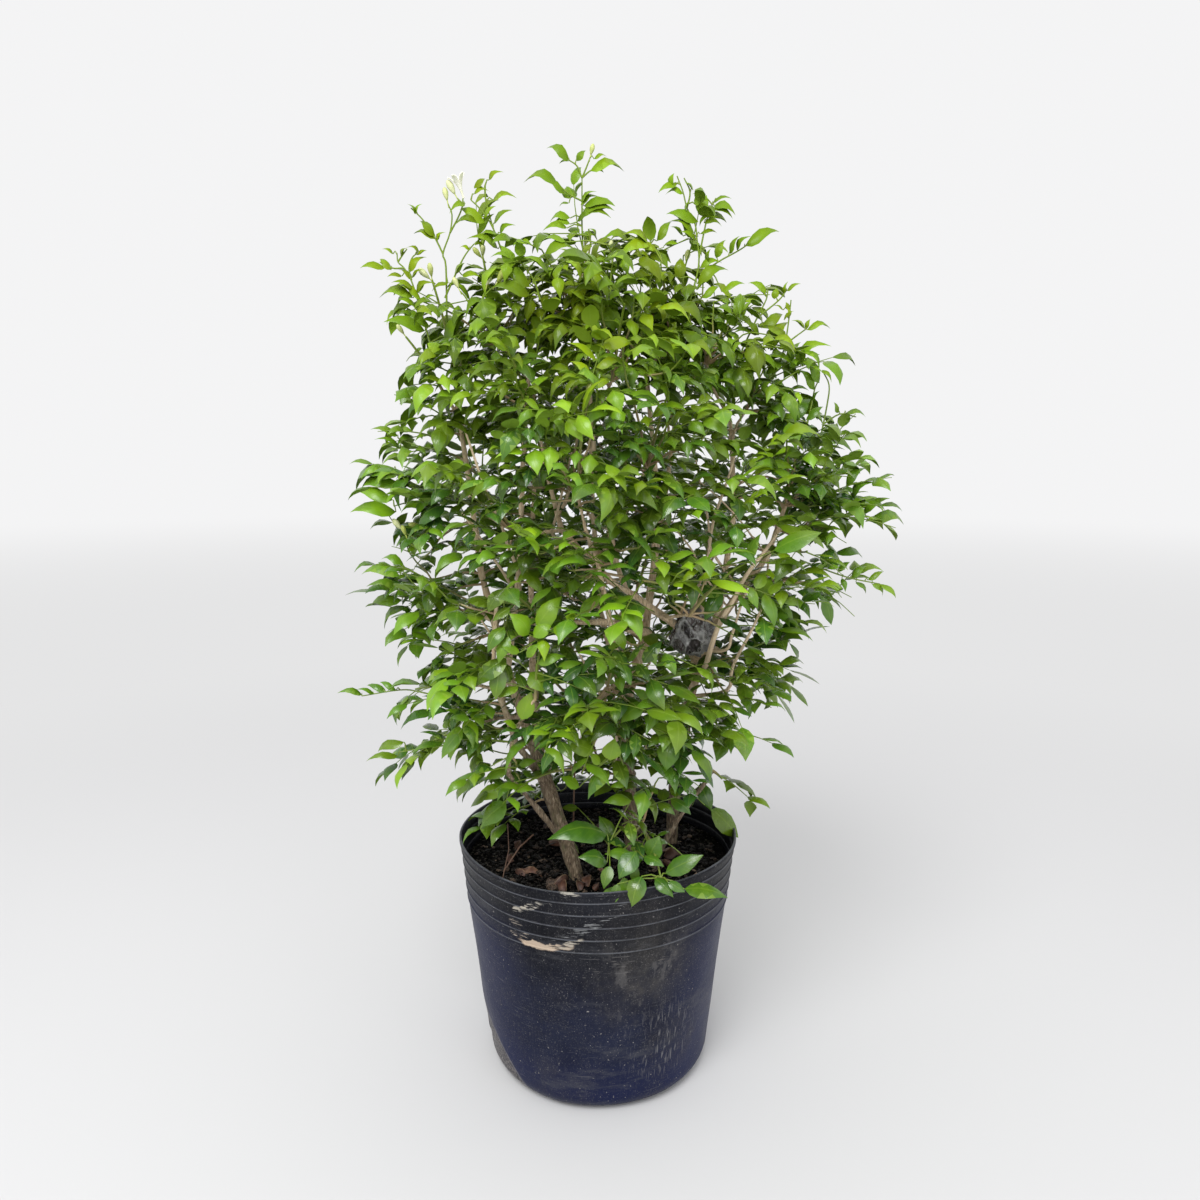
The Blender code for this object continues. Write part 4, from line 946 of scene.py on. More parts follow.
leafRule = {
    "seed": 500,
    "pairSizes": (0.84, 0.94),
    "sizeStray": (0.92, 1.06),
    "turn": math.radians(56),
    "turnStray": (0.9, 1.1),
    "liftStray": 0.12,
    "rollStray": 0.25,
    "petiole": 0.016,
    "pairStep": 0.022,
    "pairOffset": 0.0035,
    "endStep": 0.0156,
    "length": 0.048,
    "droop": 0.2,
    "arch": 3.0,
    "sideLeaf": (0.45, 0.35, 0.75, -0.25),
    "lastLeaf": (0.85, 0.15, -0.3, -0.2),
    "face": (0.0, 0.6, 0.0, 0.8),
    "ribStray": 0.22,
    "faceStray": 0.4,
    "pitches": (0, 16, -16, 32, -32, 48),
    "yaws": (0, 26, -26, 52, -52, 80, -80),
    "fineForms": (((0.74, 0.92, 1.0), 0.034, 0.0188), ((0.78, 0.95), 0.04, 0.019)),
    "otherForms": (((0.66, 0.86, 1.0), 0.031, 0.0165), ((0.8, 0.96), 0.033, 0.0165)),
    "settle": (0.64, 0.64),  # how far each blade turns its upper side to the sky, low and high up
    "raise": (0.26, 0.02),  # and how far it lifts its tip
    "raiseSpread": 0.2,
    "endDroop": 0.22,  # how much less the last leaflet lifts it high up
    "turnHeights": (0.6, 0.9),
    "mostCleared": 0.7,  # of its leaflets, before the whole leaf goes
    "lengths": (0.74, 0.88, 1.0, 1.04),
    "lengthStray": (0.94, 1.06),
    "widths": (0.86, 1.1),
    "sideStray": 0.3,
    "youngSpread": 0.09,
    "kindMiddle": (1.6, 3.3),
    "highSize": 0.9,
    "kindSpread": 1.5,
    "ribRoot": 0.0009,
    "ribEnd": 0.0004,
}


def canopyReach(height, turn):
    height = min(max(height, canopy[0][0]), canopy[-1][0])
    for low, high in zip(canopy, canopy[1:]):
        if height <= high[0]:
            break
    share = (height - low[0]) / (high[0] - low[0])
    left, right, front, back = (a + (b - a) * share for a, b in zip(low[1:], high[1:]))
    wide = right if math.cos(turn) > 0 else left
    deep = back if math.sin(turn) > 0 else front
    return 1 / math.hypot(math.cos(turn) / wide, math.sin(turn) / deep)


def cadShoots():
    rule = shootRule
    shoots = []
    for seat, end, _ in rule["outline"]:
        line = Vector(end) - Vector(seat)
        shoots.append((Vector(seat), Vector(end) - line.normalized() * rule["lastLeaf"]))
    rng = random.Random(rule["seed"])
    for tier, (height, rise) in enumerate(rule["tiers"]):
        for tierTurn in rule["turns"]:
            turn = math.radians(tierTurn + (rule["swing"] if tier % 2 else -rule["swing"]))
            turn += rng.uniform(-rule["turnStray"], rule["turnStray"])
            level = height + rng.uniform(-rule["heightStray"], rule["heightStray"])
            reach = rule["reach"] * canopyReach(level, turn)
            lift = math.radians(rise + rng.uniform(-rule["riseStray"], rule["riseStray"]))
            outward = Vector((math.cos(turn), math.sin(turn), 0))
            along = outward * math.cos(lift) + up * math.sin(lift)
            tip = outward * reach + up * level - along * rule["lastLeaf"]
            shoots.append((tip - along * rule["length"], tip))
    return shoots


def bezier(a, b, c, d, steps):
    path = []
    for i in range(steps + 1):
        t = i / steps
        s = 1 - t
        path.append(a * s**3 + b * (3 * s * s * t) + c * (3 * s * t * t) + d * t**3)
    return path


def onPath(path, share):
    # The place and the direction at a share of a path
    steps = len(path) - 1
    step = min(int(share * steps), steps - 1)
    return path[step].lerp(path[step + 1], share * steps - step), (path[step + 1] - path[step]).normalized()


def turnOf(along, face):
    x = along.normalized()
    y = face.cross(x).normalized()
    return Matrix((x, y, x.cross(y))).transposed()


def leafFrame(place, rib, face):
    found = turnOf(rib, face).to_4x4()
    found.translation = place
    return found


def blend(shares, along, outward, sideways):
    # A direction from its shares along the shoot, outward, sideways and up
    growth, out, side, rise = shares
    return along * growth + outward * out + sideways * side + up * rise


def stray(rng, most):
    return Vector([rng.uniform(-most, most) for _ in range(3)])


def leafletLines(rng, pairSizes, length, pairStep):
    # Each leaflet of a leaf, in the leaf's own frame: base, tip and upper side
    rule = leafRule
    found = []

    def add(base, direction, roll, size):
        flat = Vector((0, roll, 1)).normalized()
        tip = base + (direction - flat * rule["droop"]) * length * size
        for point in (base, tip):
            point.z -= rule["arch"] * max(point.x, 0) ** 2
        found.append((base, tip, flat))

    for pair, pairSize in enumerate(pairSizes):
        size = pairSize * rng.uniform(*rule["sizeStray"])
        turn = rule["turn"] * rng.uniform(*rule["turnStray"])
        lift = rng.uniform(-rule["liftStray"], rule["liftStray"])
        for side in (1, -1):
            roll = rng.uniform(-rule["rollStray"], rule["rollStray"])
            base = Vector((rule["petiole"] + pairStep * pair + rule["pairOffset"] * side, 0.0008 * side, 0))
            direction = Vector((math.cos(turn), math.sin(turn) * side, lift)).normalized()
            add(base, direction, roll, size)
    roll = rng.uniform(-rule["rollStray"], rule["rollStray"])
    end = rule["petiole"] + pairStep * (len(pairSizes) - 1) + rule["endStep"]
    add(Vector((end, 0, 0)), Vector((1, 0, 0)), roll, 1.0)
    return found, end


def smoothStep(value, low, high):
    t = min(1.0, max(0.0, (value - low) / (high - low)))
    return t * t * (3 - 2 * t)


def addLeaf(store, placed, form, young, rng):
    # Adds a leaf's rib and blades, and says whether it stands
    rule = leafRule
    lines, end = leafletLines(rng, *form)
    cleared = sum(inClearing(placed @ ((base + tip) / 2)) for base, tip, _ in lines)
    if cleared > rule["mostCleared"] * len(lines):
        return False
    look = placed.to_3x3()
    rib = []
    for share in (0.0, 0.35, 0.7, 1.0):
        x = end * share
        rib.append((placed @ Vector((x, 0, -rule["arch"] * x * x)),
                    rule["ribRoot"] + (rule["ribEnd"] - rule["ribRoot"]) * share, 0.0))
    store["stalks"].append(rib)
    for k, (base, tip, flat) in enumerate(lines):
        chord = placed @ tip - placed @ base
        if inClearing(placed @ ((base + tip) / 2)):
            continue
        high = smoothStep((placed @ base).z, *rule["turnHeights"])
        spans = (rule["settle"], rule["raise"], rule["kindMiddle"])
        settle, lift, kind = (low + (top - low) * high for low, top in spans)
        lift += rng.gauss(0, rule["raiseSpread"]) - (rule["endDroop"] * high if k == len(lines) - 1 else 0)
        chord = (chord.normalized() + up * lift).normalized() * chord.length
        length = chord.length * rng.choice(rule["lengths"]) * rng.uniform(*rule["lengthStray"])
        length *= 1 + (rule["highSize"] - 1) * high
        width = length * rng.uniform(*rule["widths"])
        side = (look @ flat).lerp(up, settle) + stray(rng, rule["sideStray"])
        kind = round(min(len(leafletRule["kinds"]) - 1, max(0, rng.gauss(kind, rule["kindSpread"]))))
        store["blades"].append({
            "place": placed @ base,
            "turn": turnOf(chord, side).to_quaternion(),
            "size": (length, width, length),
            "kind": kind,
            "young": min(1.0, max(0.0, young + rng.gauss(0, rule["youngSpread"]))),
            "shade": rng.random(),
        })
    return True


# Places where the growth is youngest and brightest: centre, radius and share
youngSpots = (
    ((0.185, -0.16, 0.8), 0.09, 0.35),
    ((-0.055, -0.2, 0.61), 0.07, 0.55),
    ((-0.004, -0.19, 0.9), 0.08, 0.4),
    ((0.24, -0.1, 0.64), 0.08, 0.2),
    ((0.06, -0.19, 0.33), 0.09, 0.2),
)


def youngAt(place, rng):
    turn = math.atan2(place.y, place.x)
    out = place.xy.length / canopyReach(place.z, turn)
    young = 0.06 + 0.3 * smoothStep(out, 0.45, 1.0) + 0.18 * smoothStep(place.z, 0.45, 1.0)
    for centre, radius, share in youngSpots:
        young += share * (1 - smoothStep((place - Vector(centre)).length, 0.3 * radius, radius))
    return young + rng.gauss(0, 0.17)


wrapPlace = (0.11, -0.046, 0.551)
# Gaps in the leaves that show the wood from the front: where each begins, and its radius
clearings = [
    ((0.11, -0.046, 0.549), 0.034), ((0.112, -0.046, 0.528), 0.024), ((-0.03, -0.062, 0.275), 0.04),
    ((-0.052, -0.045, 0.345), 0.03), ((0.134, -0.03, 0.54), 0.018), ((0.154, -0.04, 0.58), 0.014),
    ((0.172, -0.046, 0.608), 0.012), ((0.19, -0.05, 0.634), 0.012), ((0.04, -0.053, 0.597), 0.011),
    ((0.014, -0.06, 0.615), 0.011), ((-0.004, -0.063, 0.634), 0.011), ((-0.022, -0.067, 0.654), 0.01),
    ((-0.04, -0.07, 0.673), 0.01), ((0.075, 0.02, 0.56), 0.02), ((0.112, -0.05, 0.262), 0.036),
    ((0.011, -0.15, 0.897), 0.014), ((0.056, -0.15, 0.272), 0.017), ((0.2, -0.06, 0.3), 0.034),
    ((0.165, -0.03, 0.33), 0.026), ((0.187, 0.03, 0.957), 0.018),
]
# Thin pale limbs between the leaves: the places that each runs through, and its radius at its foot
limbs = (
    (((-0.05, -0.08, 0.669), (-0.044, -0.105, 0.692), (-0.03, -0.135, 0.744),
      (-0.026, -0.145, 0.759)), 0.002),
    (((-0.098, -0.055, 0.603), (-0.104, -0.075, 0.623), (-0.115, -0.09, 0.644), (-0.128, -0.1, 0.668),
      (-0.145, -0.11, 0.695)), 0.0022),
    (((-0.09, -0.045, 0.601), (-0.091, -0.07, 0.631), (-0.099, -0.08, 0.655), (-0.105, -0.085, 0.678),
      (-0.12, -0.095, 0.716), (-0.134, -0.1, 0.76), (-0.143, -0.1, 0.788)), 0.0024),
    (((-0.006, -0.066, 0.641), (-0.012, -0.085, 0.674), (-0.017, -0.095, 0.697),
      (-0.021, -0.1, 0.73)), 0.0015),
    (((-0.1, -0.09, 0.523), (-0.105, -0.11, 0.542), (-0.118, -0.125, 0.57),
      (-0.129, -0.13, 0.589)), 0.002),
    (((0.123, -0.05, 0.602), (0.123, -0.08, 0.641), (0.125, -0.105, 0.684), (0.132, -0.11, 0.709),
      (0.14, -0.11, 0.733), (0.147, -0.105, 0.756)), 0.0024),
    (((0.127, -0.08, 0.652), (0.121, -0.095, 0.686), (0.111, -0.1, 0.726),
      (0.106, -0.1, 0.751)), 0.0018),
    (((0.196, -0.05, 0.646), (0.183, -0.07, 0.654), (0.158, -0.095, 0.683), (0.142, -0.1, 0.7),
      (0.127, -0.105, 0.714), (0.11, -0.105, 0.728)), 0.0014),
    (((0.126, -0.055, 0.515), (0.13, -0.075, 0.543), (0.137, -0.092, 0.573), (0.149, -0.105, 0.599),
      (0.161, -0.112, 0.627), (0.18, -0.112, 0.653), (0.194, -0.105, 0.671)), 0.0036),
    (((0.153, -0.045, 0.482), (0.156, -0.065, 0.515), (0.174, -0.09, 0.566),
      (0.185, -0.1, 0.599)), 0.0026),
    (((0.147, -0.07, 0.536), (0.152, -0.08, 0.555), (0.159, -0.1, 0.595),
      (0.165, -0.105, 0.611)), 0.0022),
    (((0.119, -0.045, 0.625), (0.109, -0.06, 0.647), (0.086, -0.08, 0.677), (0.072, -0.09, 0.702),
      (0.063, -0.09, 0.719)), 0.0014),
    (((0.025, -0.02, 0.407), (0.007, -0.05, 0.468), (-0.006, -0.06, 0.5),
      (-0.02, -0.07, 0.53)), 0.0024),
)

# Leaves that show one by one at the front: where each begins and ends, its width over its length, and how
# young it is. The hubs are where their stalks part
frontHubs = (
    (0.039, -0.115, 0.314), (0.07, -0.15, 0.297), (-0.098, -0.075, 0.387), (-0.087, -0.115, 0.458),
    (-0.058, -0.165, 0.561), (0.023, -0.13, 0.435), (0.065, -0.13, 0.479), (0.13, -0.01, 0.345),
    (0.013, -0.115, 0.32), (-0.097, -0.15, 0.573), (-0.097, -0.15, 0.548), (0.141, -0.095, 0.609),
)
frontLeaves = (
    ((0.011, -0.115, 0.333), (-0.056, -0.135, 0.337), 0.42, 0.35),
    ((0.017, -0.1, 0.322), (0.003, -0.09, 0.345), 0.6, 0.3),
    ((0.011, -0.13, 0.306), (-0.022, -0.14, 0.318), 0.55, 0.3),
    ((0.014, -0.145, 0.309), (0.006, -0.155, 0.287), 0.55, 0.4),
    ((0.043, -0.135, 0.321), (0.022, -0.15, 0.297), 0.62, 0.22),
    ((0.051, -0.14, 0.317), (0.073, -0.15, 0.309), 0.5, 0.3),
    ((0.058, -0.125, 0.308), (0.071, -0.125, 0.334), 0.75, 0.45),
    ((0.075, -0.145, 0.3), (0.117, -0.15, 0.322), 0.42, 0.42),
    ((0.048, -0.158, 0.303), (0.036, -0.168, 0.273), 0.6, 0.25),
    ((0.063, -0.155, 0.299), (0.082, -0.165, 0.281), 0.5, 0.3),
    ((0.095, -0.16, 0.289), (0.142, -0.168, 0.284), 0.42, 0.42),
    ((0.077, -0.16, 0.297), (0.095, -0.165, 0.287), 0.5, 0.3),
    ((0.022, -0.16, 0.295), (0.017, -0.165, 0.274), 0.5, 0.35),
    ((-0.106, -0.085, 0.359), (-0.136, -0.09, 0.332), 0.62, 0.62),
    ((-0.104, -0.07, 0.374), (-0.143, -0.075, 0.355), 0.42, 0.7),
    ((-0.098, -0.085, 0.377), (-0.072, -0.09, 0.374), 0.5, 0.65),
    ((-0.103, -0.08, 0.398), (-0.131, -0.085, 0.387), 0.45, 0.6),
    ((-0.091, -0.08, 0.402), (-0.07, -0.08, 0.406), 0.5, 0.55),
    ((-0.071, -0.15, 0.529), (-0.054, -0.16, 0.51), 0.75, 0.55),
    ((-0.082, -0.14, 0.474), (-0.069, -0.14, 0.505), 0.55, 0.75),
    ((-0.087, -0.14, 0.466), (-0.101, -0.145, 0.473), 0.6, 0.65),
    ((-0.07, -0.17, 0.574), (-0.089, -0.175, 0.598), 0.68, 0.6),
    ((-0.062, -0.17, 0.581), (-0.035, -0.165, 0.612), 0.5, 0.62),
    ((-0.065, -0.175, 0.572), (-0.044, -0.17, 0.587), 0.6, 0.55),
    ((-0.08, -0.17, 0.555), (-0.099, -0.17, 0.562), 0.5, 0.55),
    ((-0.073, -0.17, 0.55), (-0.059, -0.175, 0.566), 0.5, 0.55),
    ((-0.062, -0.17, 0.543), (-0.032, -0.17, 0.55), 0.42, 0.55),
    ((-0.041, -0.17, 0.539), (-0.015, -0.17, 0.544), 0.45, 0.55),
    ((-0.003, -0.15, 0.443), (-0.034, -0.15, 0.446), 0.6, 0.45),
    ((0.014, -0.15, 0.432), (0.017, -0.15, 0.457), 0.8, 0.6),
    ((0.003, -0.15, 0.427), (-0.008, -0.15, 0.441), 0.6, 0.45),
    ((-0.02, -0.13, 0.394), (-0.04, -0.13, 0.407), 0.6, 0.6),
    ((0.049, -0.15, 0.496), (0.024, -0.155, 0.476), 0.6, 0.45),
    ((0.057, -0.15, 0.497), (0.037, -0.15, 0.51), 0.5, 0.5),
    ((0.085, -0.14, 0.454), (0.055, -0.145, 0.471), 0.6, 0.35),
    ((0.081, -0.14, 0.45), (0.073, -0.145, 0.419), 0.75, 0.25),
    ((0.034, -0.12, 0.396), (0.014, -0.12, 0.391), 0.42, 0.5),
    ((0.038, -0.11, 0.371), (0.006, -0.115, 0.371), 0.45, 0.4),
    ((-0.024, -0.03, 0.33), (-0.045, -0.03, 0.33), 0.5, 0.15),
    ((0.142, -0.005, 0.318), (0.177, 0.0, 0.276), 0.5, 0.4),
    ((0.126, -0.02, 0.358), (0.138, -0.03, 0.325), 0.5, 0.25),
    ((-0.096, -0.165, 0.621), (-0.111, -0.17, 0.596), 0.55, 0.15),
    ((-0.09, -0.165, 0.601), (-0.108, -0.17, 0.588), 0.5, 0.15),
    ((-0.096, -0.165, 0.581), (-0.114, -0.17, 0.555), 0.5, 0.25),
    ((-0.095, -0.16, 0.547), (-0.126, -0.165, 0.516), 0.48, 0.12),
    ((-0.102, -0.16, 0.536), (-0.108, -0.165, 0.503), 0.5, 0.15),
    ((-0.092, -0.165, 0.571), (-0.101, -0.17, 0.543), 0.45, 0.3),
    ((0.137, -0.1, 0.608), (0.116, -0.105, 0.576), 0.42, 0.12),
    ((0.137, -0.1, 0.608), (0.103, -0.105, 0.605), 0.5, 0.12),
)
# Leaves that stand against the light at the top, in groups of one depth. Each leaf holds where its base and
# its tip show from the front, in pixels across and down of a square view of 1200, then its width in percent
# of its length, and how young it is in percent. Each stalk holds 1 where a bud stands at its end, then the
# same for its places
crown = (
    {  # the highest shoot
        "depth": -0.005,
        "leaves": (
            (569, 160, 545, 149, 42, 40), (569, 161, 559, 164, 55, 40), (577, 161, 587, 151, 60, 40),
            (594, 159, 607, 157, 42, 45), (590, 171, 625, 172, 40, 42), (596, 169, 604, 173, 50, 45),
            (557, 183, 523, 183, 42, 42), (564, 194, 545, 181, 42, 42), (582, 182, 576, 194, 80, 40),
            (582, 202, 597, 192, 70, 40), (584, 206, 616, 206, 55, 40), (581, 216, 612, 218, 42, 38),
            (570, 218, 549, 223, 48, 42), (567, 228, 542, 231, 45, 42), (569, 203, 559, 207, 60, 45),
            (596, 235, 588, 229, 55, 42), (581, 205, 600, 197, 60, 42),
            (584, 211, 614, 211, 60, 42), (570, 224, 551, 226, 50, 42),
            (584, 232, 598, 243, 55, 42), (590, 240, 576, 236, 60, 42),
        ),
        "stalks": (
            (0, 584, 276, 582, 226, 582, 201, 582, 178), (0, 582, 178, 577, 166, 569, 160),
            (1, 582, 178, 587, 166, 590, 158), (0, 582, 178, 590, 171, 596, 169),
            (0, 582, 201, 569, 194, 557, 183),
        ),
    },
    {  # the flowering shoots at the left
        "depth": -0.06,
        "leaves": (
            (435, 237, 420, 221, 62, 42), (435, 239, 413, 234, 40, 42), (437, 241, 446, 232, 62, 50),
            (415, 214, 407, 204, 45, 60), (416, 213, 423, 204, 40, 60), (474, 188, 486, 179, 70, 40),
            (489, 180, 504, 172, 45, 45), (474, 194, 490, 192, 50, 38), (493, 200, 517, 199, 45, 40),
            (484, 218, 496, 206, 75, 40), (494, 224, 513, 210, 62, 38), (500, 233, 516, 225, 48, 42),
            (485, 223, 460, 209, 45, 38), (478, 222, 453, 228, 42, 36), (498, 249, 466, 239, 45, 40),
            (465, 204, 450, 214, 45, 42), (455, 274, 465, 263, 60, 42), (462, 275, 481, 278, 42, 50),
            (470, 250, 459, 248, 35, 65), (474, 244, 486, 247, 40, 60), (448, 283, 432, 292, 45, 45),
        ),
        "stalks": (
            (1, 447, 325, 446, 267, 443, 254, 450, 233, 452, 215, 448, 204),
            (0, 443, 254, 435, 238, 423, 220, 411, 208), (0, 450, 233, 457, 220, 462, 208, 463, 198),
            (0, 510, 274, 493, 228, 481, 210, 471, 200), (0, 485, 186, 486, 201, 493, 228),
            (0, 445, 298, 459, 267, 466, 254, 474, 244), (1, 464, 206, 461, 202, 457, 198),
            (1, 418, 549, 411, 544, 407, 538),
        ),
    },
    {  # budding stalks before them
        "depth": -0.08,
        "leaves": (),
        "stalks": (
            (1, 476, 316, 482, 299, 486, 289), (1, 482, 299, 489, 291, 495, 286),
            (1, 474, 314, 466, 298, 460, 291), (1, 606, 287, 608, 269, 610, 256),
        ),
    },
    {  # the left shoulder
        "depth": -0.06,
        "leaves": (
            (385, 268, 360, 268, 32, 42), (393, 254, 382, 249, 42, 42), (391, 270, 380, 259, 50, 42),
            (401, 256, 408, 248, 50, 42), (419, 252, 406, 248, 50, 45), (417, 255, 427, 251, 22, 42),
            (410, 272, 427, 257, 36, 42), (412, 278, 424, 270, 42, 42), (402, 276, 387, 277, 50, 42),
            (412, 280, 398, 270, 40, 42), (413, 288, 391, 283, 55, 36), (421, 300, 397, 286, 32, 50),
            (413, 298, 380, 298, 36, 42), (416, 306, 397, 300, 30, 42), (417, 293, 436, 283, 38, 42),
            (424, 300, 438, 298, 28, 42), (425, 331, 383, 322, 34, 42), (430, 327, 394, 316, 30, 42),
            (413, 316, 400, 311, 45, 25), (446, 350, 444, 301, 32, 42), (440, 323, 420, 321, 36, 42),
            (452, 336, 467, 315, 38, 42), (470, 300, 446, 283, 22, 50),
        ),
        "stalks": (
            (0, 432, 350, 424, 322, 417, 298, 411, 280, 404, 268, 398, 262, 397, 254),
            (0, 411, 280, 409, 268, 412, 258, 417, 253), (0, 398, 262, 402, 256, 407, 249),
            (0, 404, 268, 392, 268, 380, 262),
        ),
    },
    {  # the shoots at the right
        "group": "highRight",
        "depth": -0.02,
        "leaves": (
            (670, 187, 674, 173, 70, 55), (677, 184, 658, 193, 34, 50), (683, 194, 665, 195, 26, 42),
            (693, 190, 684, 183, 55, 55), (703, 199, 692, 194, 45, 50), (697, 206, 702, 191, 60, 42),
            (700, 213, 706, 195, 62, 48), (713, 203, 732, 199, 28, 42), (714, 206, 736, 215, 55, 48),
            (711, 209, 733, 219, 36, 42), (705, 215, 727, 223, 30, 42), (704, 223, 722, 227, 36, 42),
            (700, 234, 717, 233, 36, 42), (698, 222, 666, 214, 40, 42), (694, 233, 668, 222, 42, 42),
            (683, 236, 670, 227, 60, 30), (696, 239, 680, 232, 36, 42), (707, 214, 700, 227, 55, 50),
            (686, 213, 683, 200, 60, 45), (678, 243, 662, 249, 36, 42), (657, 241, 672, 222, 45, 42),
            (651, 241, 647, 208, 42, 50), (680, 278, 680, 258, 52, 30), (700, 268, 722, 263, 34, 42),
            (697, 284, 728, 270, 34, 42), (697, 290, 709, 282, 40, 42), (706, 262, 711, 249, 85, 42),
            (716, 258, 727, 240, 50, 42), (730, 254, 740, 236, 44, 42), (737, 250, 752, 236, 36, 42),
            (745, 246, 780, 232, 25, 55), (722, 292, 745, 284, 36, 55), (702, 298, 720, 287, 40, 42),
        ),
        "stalks": (
            (0, 690, 300, 697, 275, 699, 258, 697, 240, 695, 224, 687, 208, 683, 192, 677, 176),
            (0, 687, 208, 690, 192, 684, 178), (0, 699, 258, 704, 232, 709, 212, 716, 198),
            (0, 700, 275, 718, 262, 738, 251, 750, 243), (0, 648, 275, 652, 255, 650, 240),
        ),
    },
    {  # the right shoulder
        "group": "highRight",
        "depth": -0.02,
        "leaves": (
            (767, 293, 748, 283, 34, 50), (767, 298, 757, 291, 26, 42), (774, 299, 777, 288, 60, 55),
            (787, 291, 801, 284, 50, 55), (784, 293, 788, 281, 30, 55), (789, 310, 786, 302, 60, 50),
            (789, 318, 795, 306, 60, 55), (784, 320, 794, 311, 42, 55), (783, 310, 773, 306, 16, 50),
            (805, 329, 791, 321, 50, 60), (806, 329, 810, 319, 45, 60), (807, 330, 831, 329, 28, 58),
            (762, 328, 784, 315, 52, 30), (768, 349, 788, 322, 52, 30), (770, 350, 785, 334, 36, 30),
            (788, 363, 800, 342, 42, 42), (799, 356, 832, 346, 32, 48), (766, 374, 793, 365, 46, 45),
            (819, 383, 801, 356, 36, 45), (822, 370, 831, 383, 34, 50), (814, 390, 795, 370, 32, 48),
            (812, 401, 820, 391, 55, 45), (771, 392, 785, 380, 46, 40), (838, 413, 834, 402, 55, 42),
            (846, 413, 866, 418, 50, 48), (792, 422, 811, 398, 46, 30), (806, 420, 824, 407, 50, 35),
            (759, 335, 743, 322, 38, 35), (742, 320, 758, 300, 46, 36), (740, 318, 734, 299, 46, 30),
            (757, 335, 731, 335, 34, 40), (776, 358, 776, 347, 60, 45),
        ),
        "stalks": (
            (0, 742, 350, 757, 318, 766, 300, 768, 290), (0, 757, 318, 778, 301, 786, 291),
            (0, 780, 362, 785, 345, 789, 318, 791, 300), (0, 783, 346, 795, 337, 806, 329),
            (0, 752, 395, 770, 377, 786, 364, 800, 352), (0, 820, 440, 827, 405, 829, 385, 822, 370),
            (0, 806, 430, 812, 402, 815, 388, 819, 380), (0, 822, 425, 840, 414, 856, 417),
        ),
    },
    {  # the big leaves that stand out at the left
        "group": "middleLeft",
        "depth": -0.055,
        "leaves": (
            (394, 468, 355, 491, 50, 48), (400, 484, 362, 487, 40, 45), (393, 500, 358, 492, 42, 50),
            (396, 512, 350, 512, 44, 58), (398, 436, 370, 430, 40, 45), (400, 448, 374, 440, 38, 40),
            (400, 576, 362, 574, 38, 40), (398, 588, 366, 586, 40, 42), (402, 600, 372, 604, 40, 42),
            (404, 566, 380, 560, 42, 50), (396, 690, 380, 682, 40, 30), (386, 692, 366, 686, 36, 30),
            (374, 694, 356, 690, 36, 35), (362, 695, 337, 693, 30, 40), (404, 742, 378, 752, 36, 30),
            (398, 756, 366, 762, 34, 30),
        ),
        "stalks": (
            (0, 440, 505, 418, 492, 396, 470), (0, 430, 500, 410, 502, 394, 506),
            (1, 440, 545, 416, 538, 404, 532), (0, 440, 450, 418, 446, 398, 438),
            (0, 440, 600, 420, 590, 402, 570), (0, 440, 604, 420, 594, 400, 590),
            (0, 450, 700, 420, 692, 400, 690, 362, 696), (0, 450, 745, 425, 748, 400, 752),
        ),
    },
    {  # the feathery shoots that stand out at the right
        "group": "middleRight",
        "depth": -0.04,
        "leaves": (
            (852, 578, 866, 566, 44, 52), (856, 582, 866, 594, 40, 48), (868, 580, 884, 572, 40, 55),
            (872, 584, 882, 596, 40, 50), (880, 584, 896, 598, 42, 50), (838, 572, 850, 562, 44, 45),
            (842, 578, 846, 592, 40, 42), (858, 505, 886, 512, 42, 50), (868, 520, 905, 526, 40, 45),
            (862, 514, 890, 498, 40, 55), (852, 498, 878, 482, 42, 52), (846, 486, 866, 468, 42, 50),
        ),
        "stalks": (
            (0, 800, 560, 826, 570, 850, 578, 880, 584), (0, 800, 500, 830, 505, 862, 514),
            (0, 800, 500, 824, 494, 848, 488),
        ),
    },
    {  # the front of the top
        "group": "highFront",
        "depth": -0.09,
        "leaves": (
            (522, 257, 521, 235, 62, 40), (514, 258, 490, 258, 42, 40), (512, 268, 502, 245, 55, 40),
            (549, 273, 518, 259, 42, 48), (545, 254, 577, 251, 45, 40), (566, 242, 540, 243, 42, 40),
            (576, 264, 558, 249, 55, 42), (530, 287, 495, 274, 40, 15), (530, 295, 491, 287, 42, 12),
            (627, 238, 601, 242, 42, 40), (648, 243, 621, 235, 40, 45), (650, 244, 617, 260, 42, 48),
            (657, 250, 626, 252, 32, 40), (610, 262, 590, 264, 45, 40), (606, 258, 600, 250, 60, 50),
            (640, 262, 655, 268, 24, 60), (650, 273, 630, 267, 26, 55), (650, 284, 636, 280, 30, 50),
            (655, 284, 668, 272, 28, 50), (600, 292, 590, 270, 60, 50), (612, 290, 634, 276, 45, 40),
            (585, 300, 566, 292, 45, 48),
        ),
        "stalks": (
            (0, 610, 300, 611, 275, 613, 255, 608, 245), (0, 653, 300, 650, 280, 662, 262),
            (0, 540, 300, 534, 280, 520, 262),
        ),
    },
)
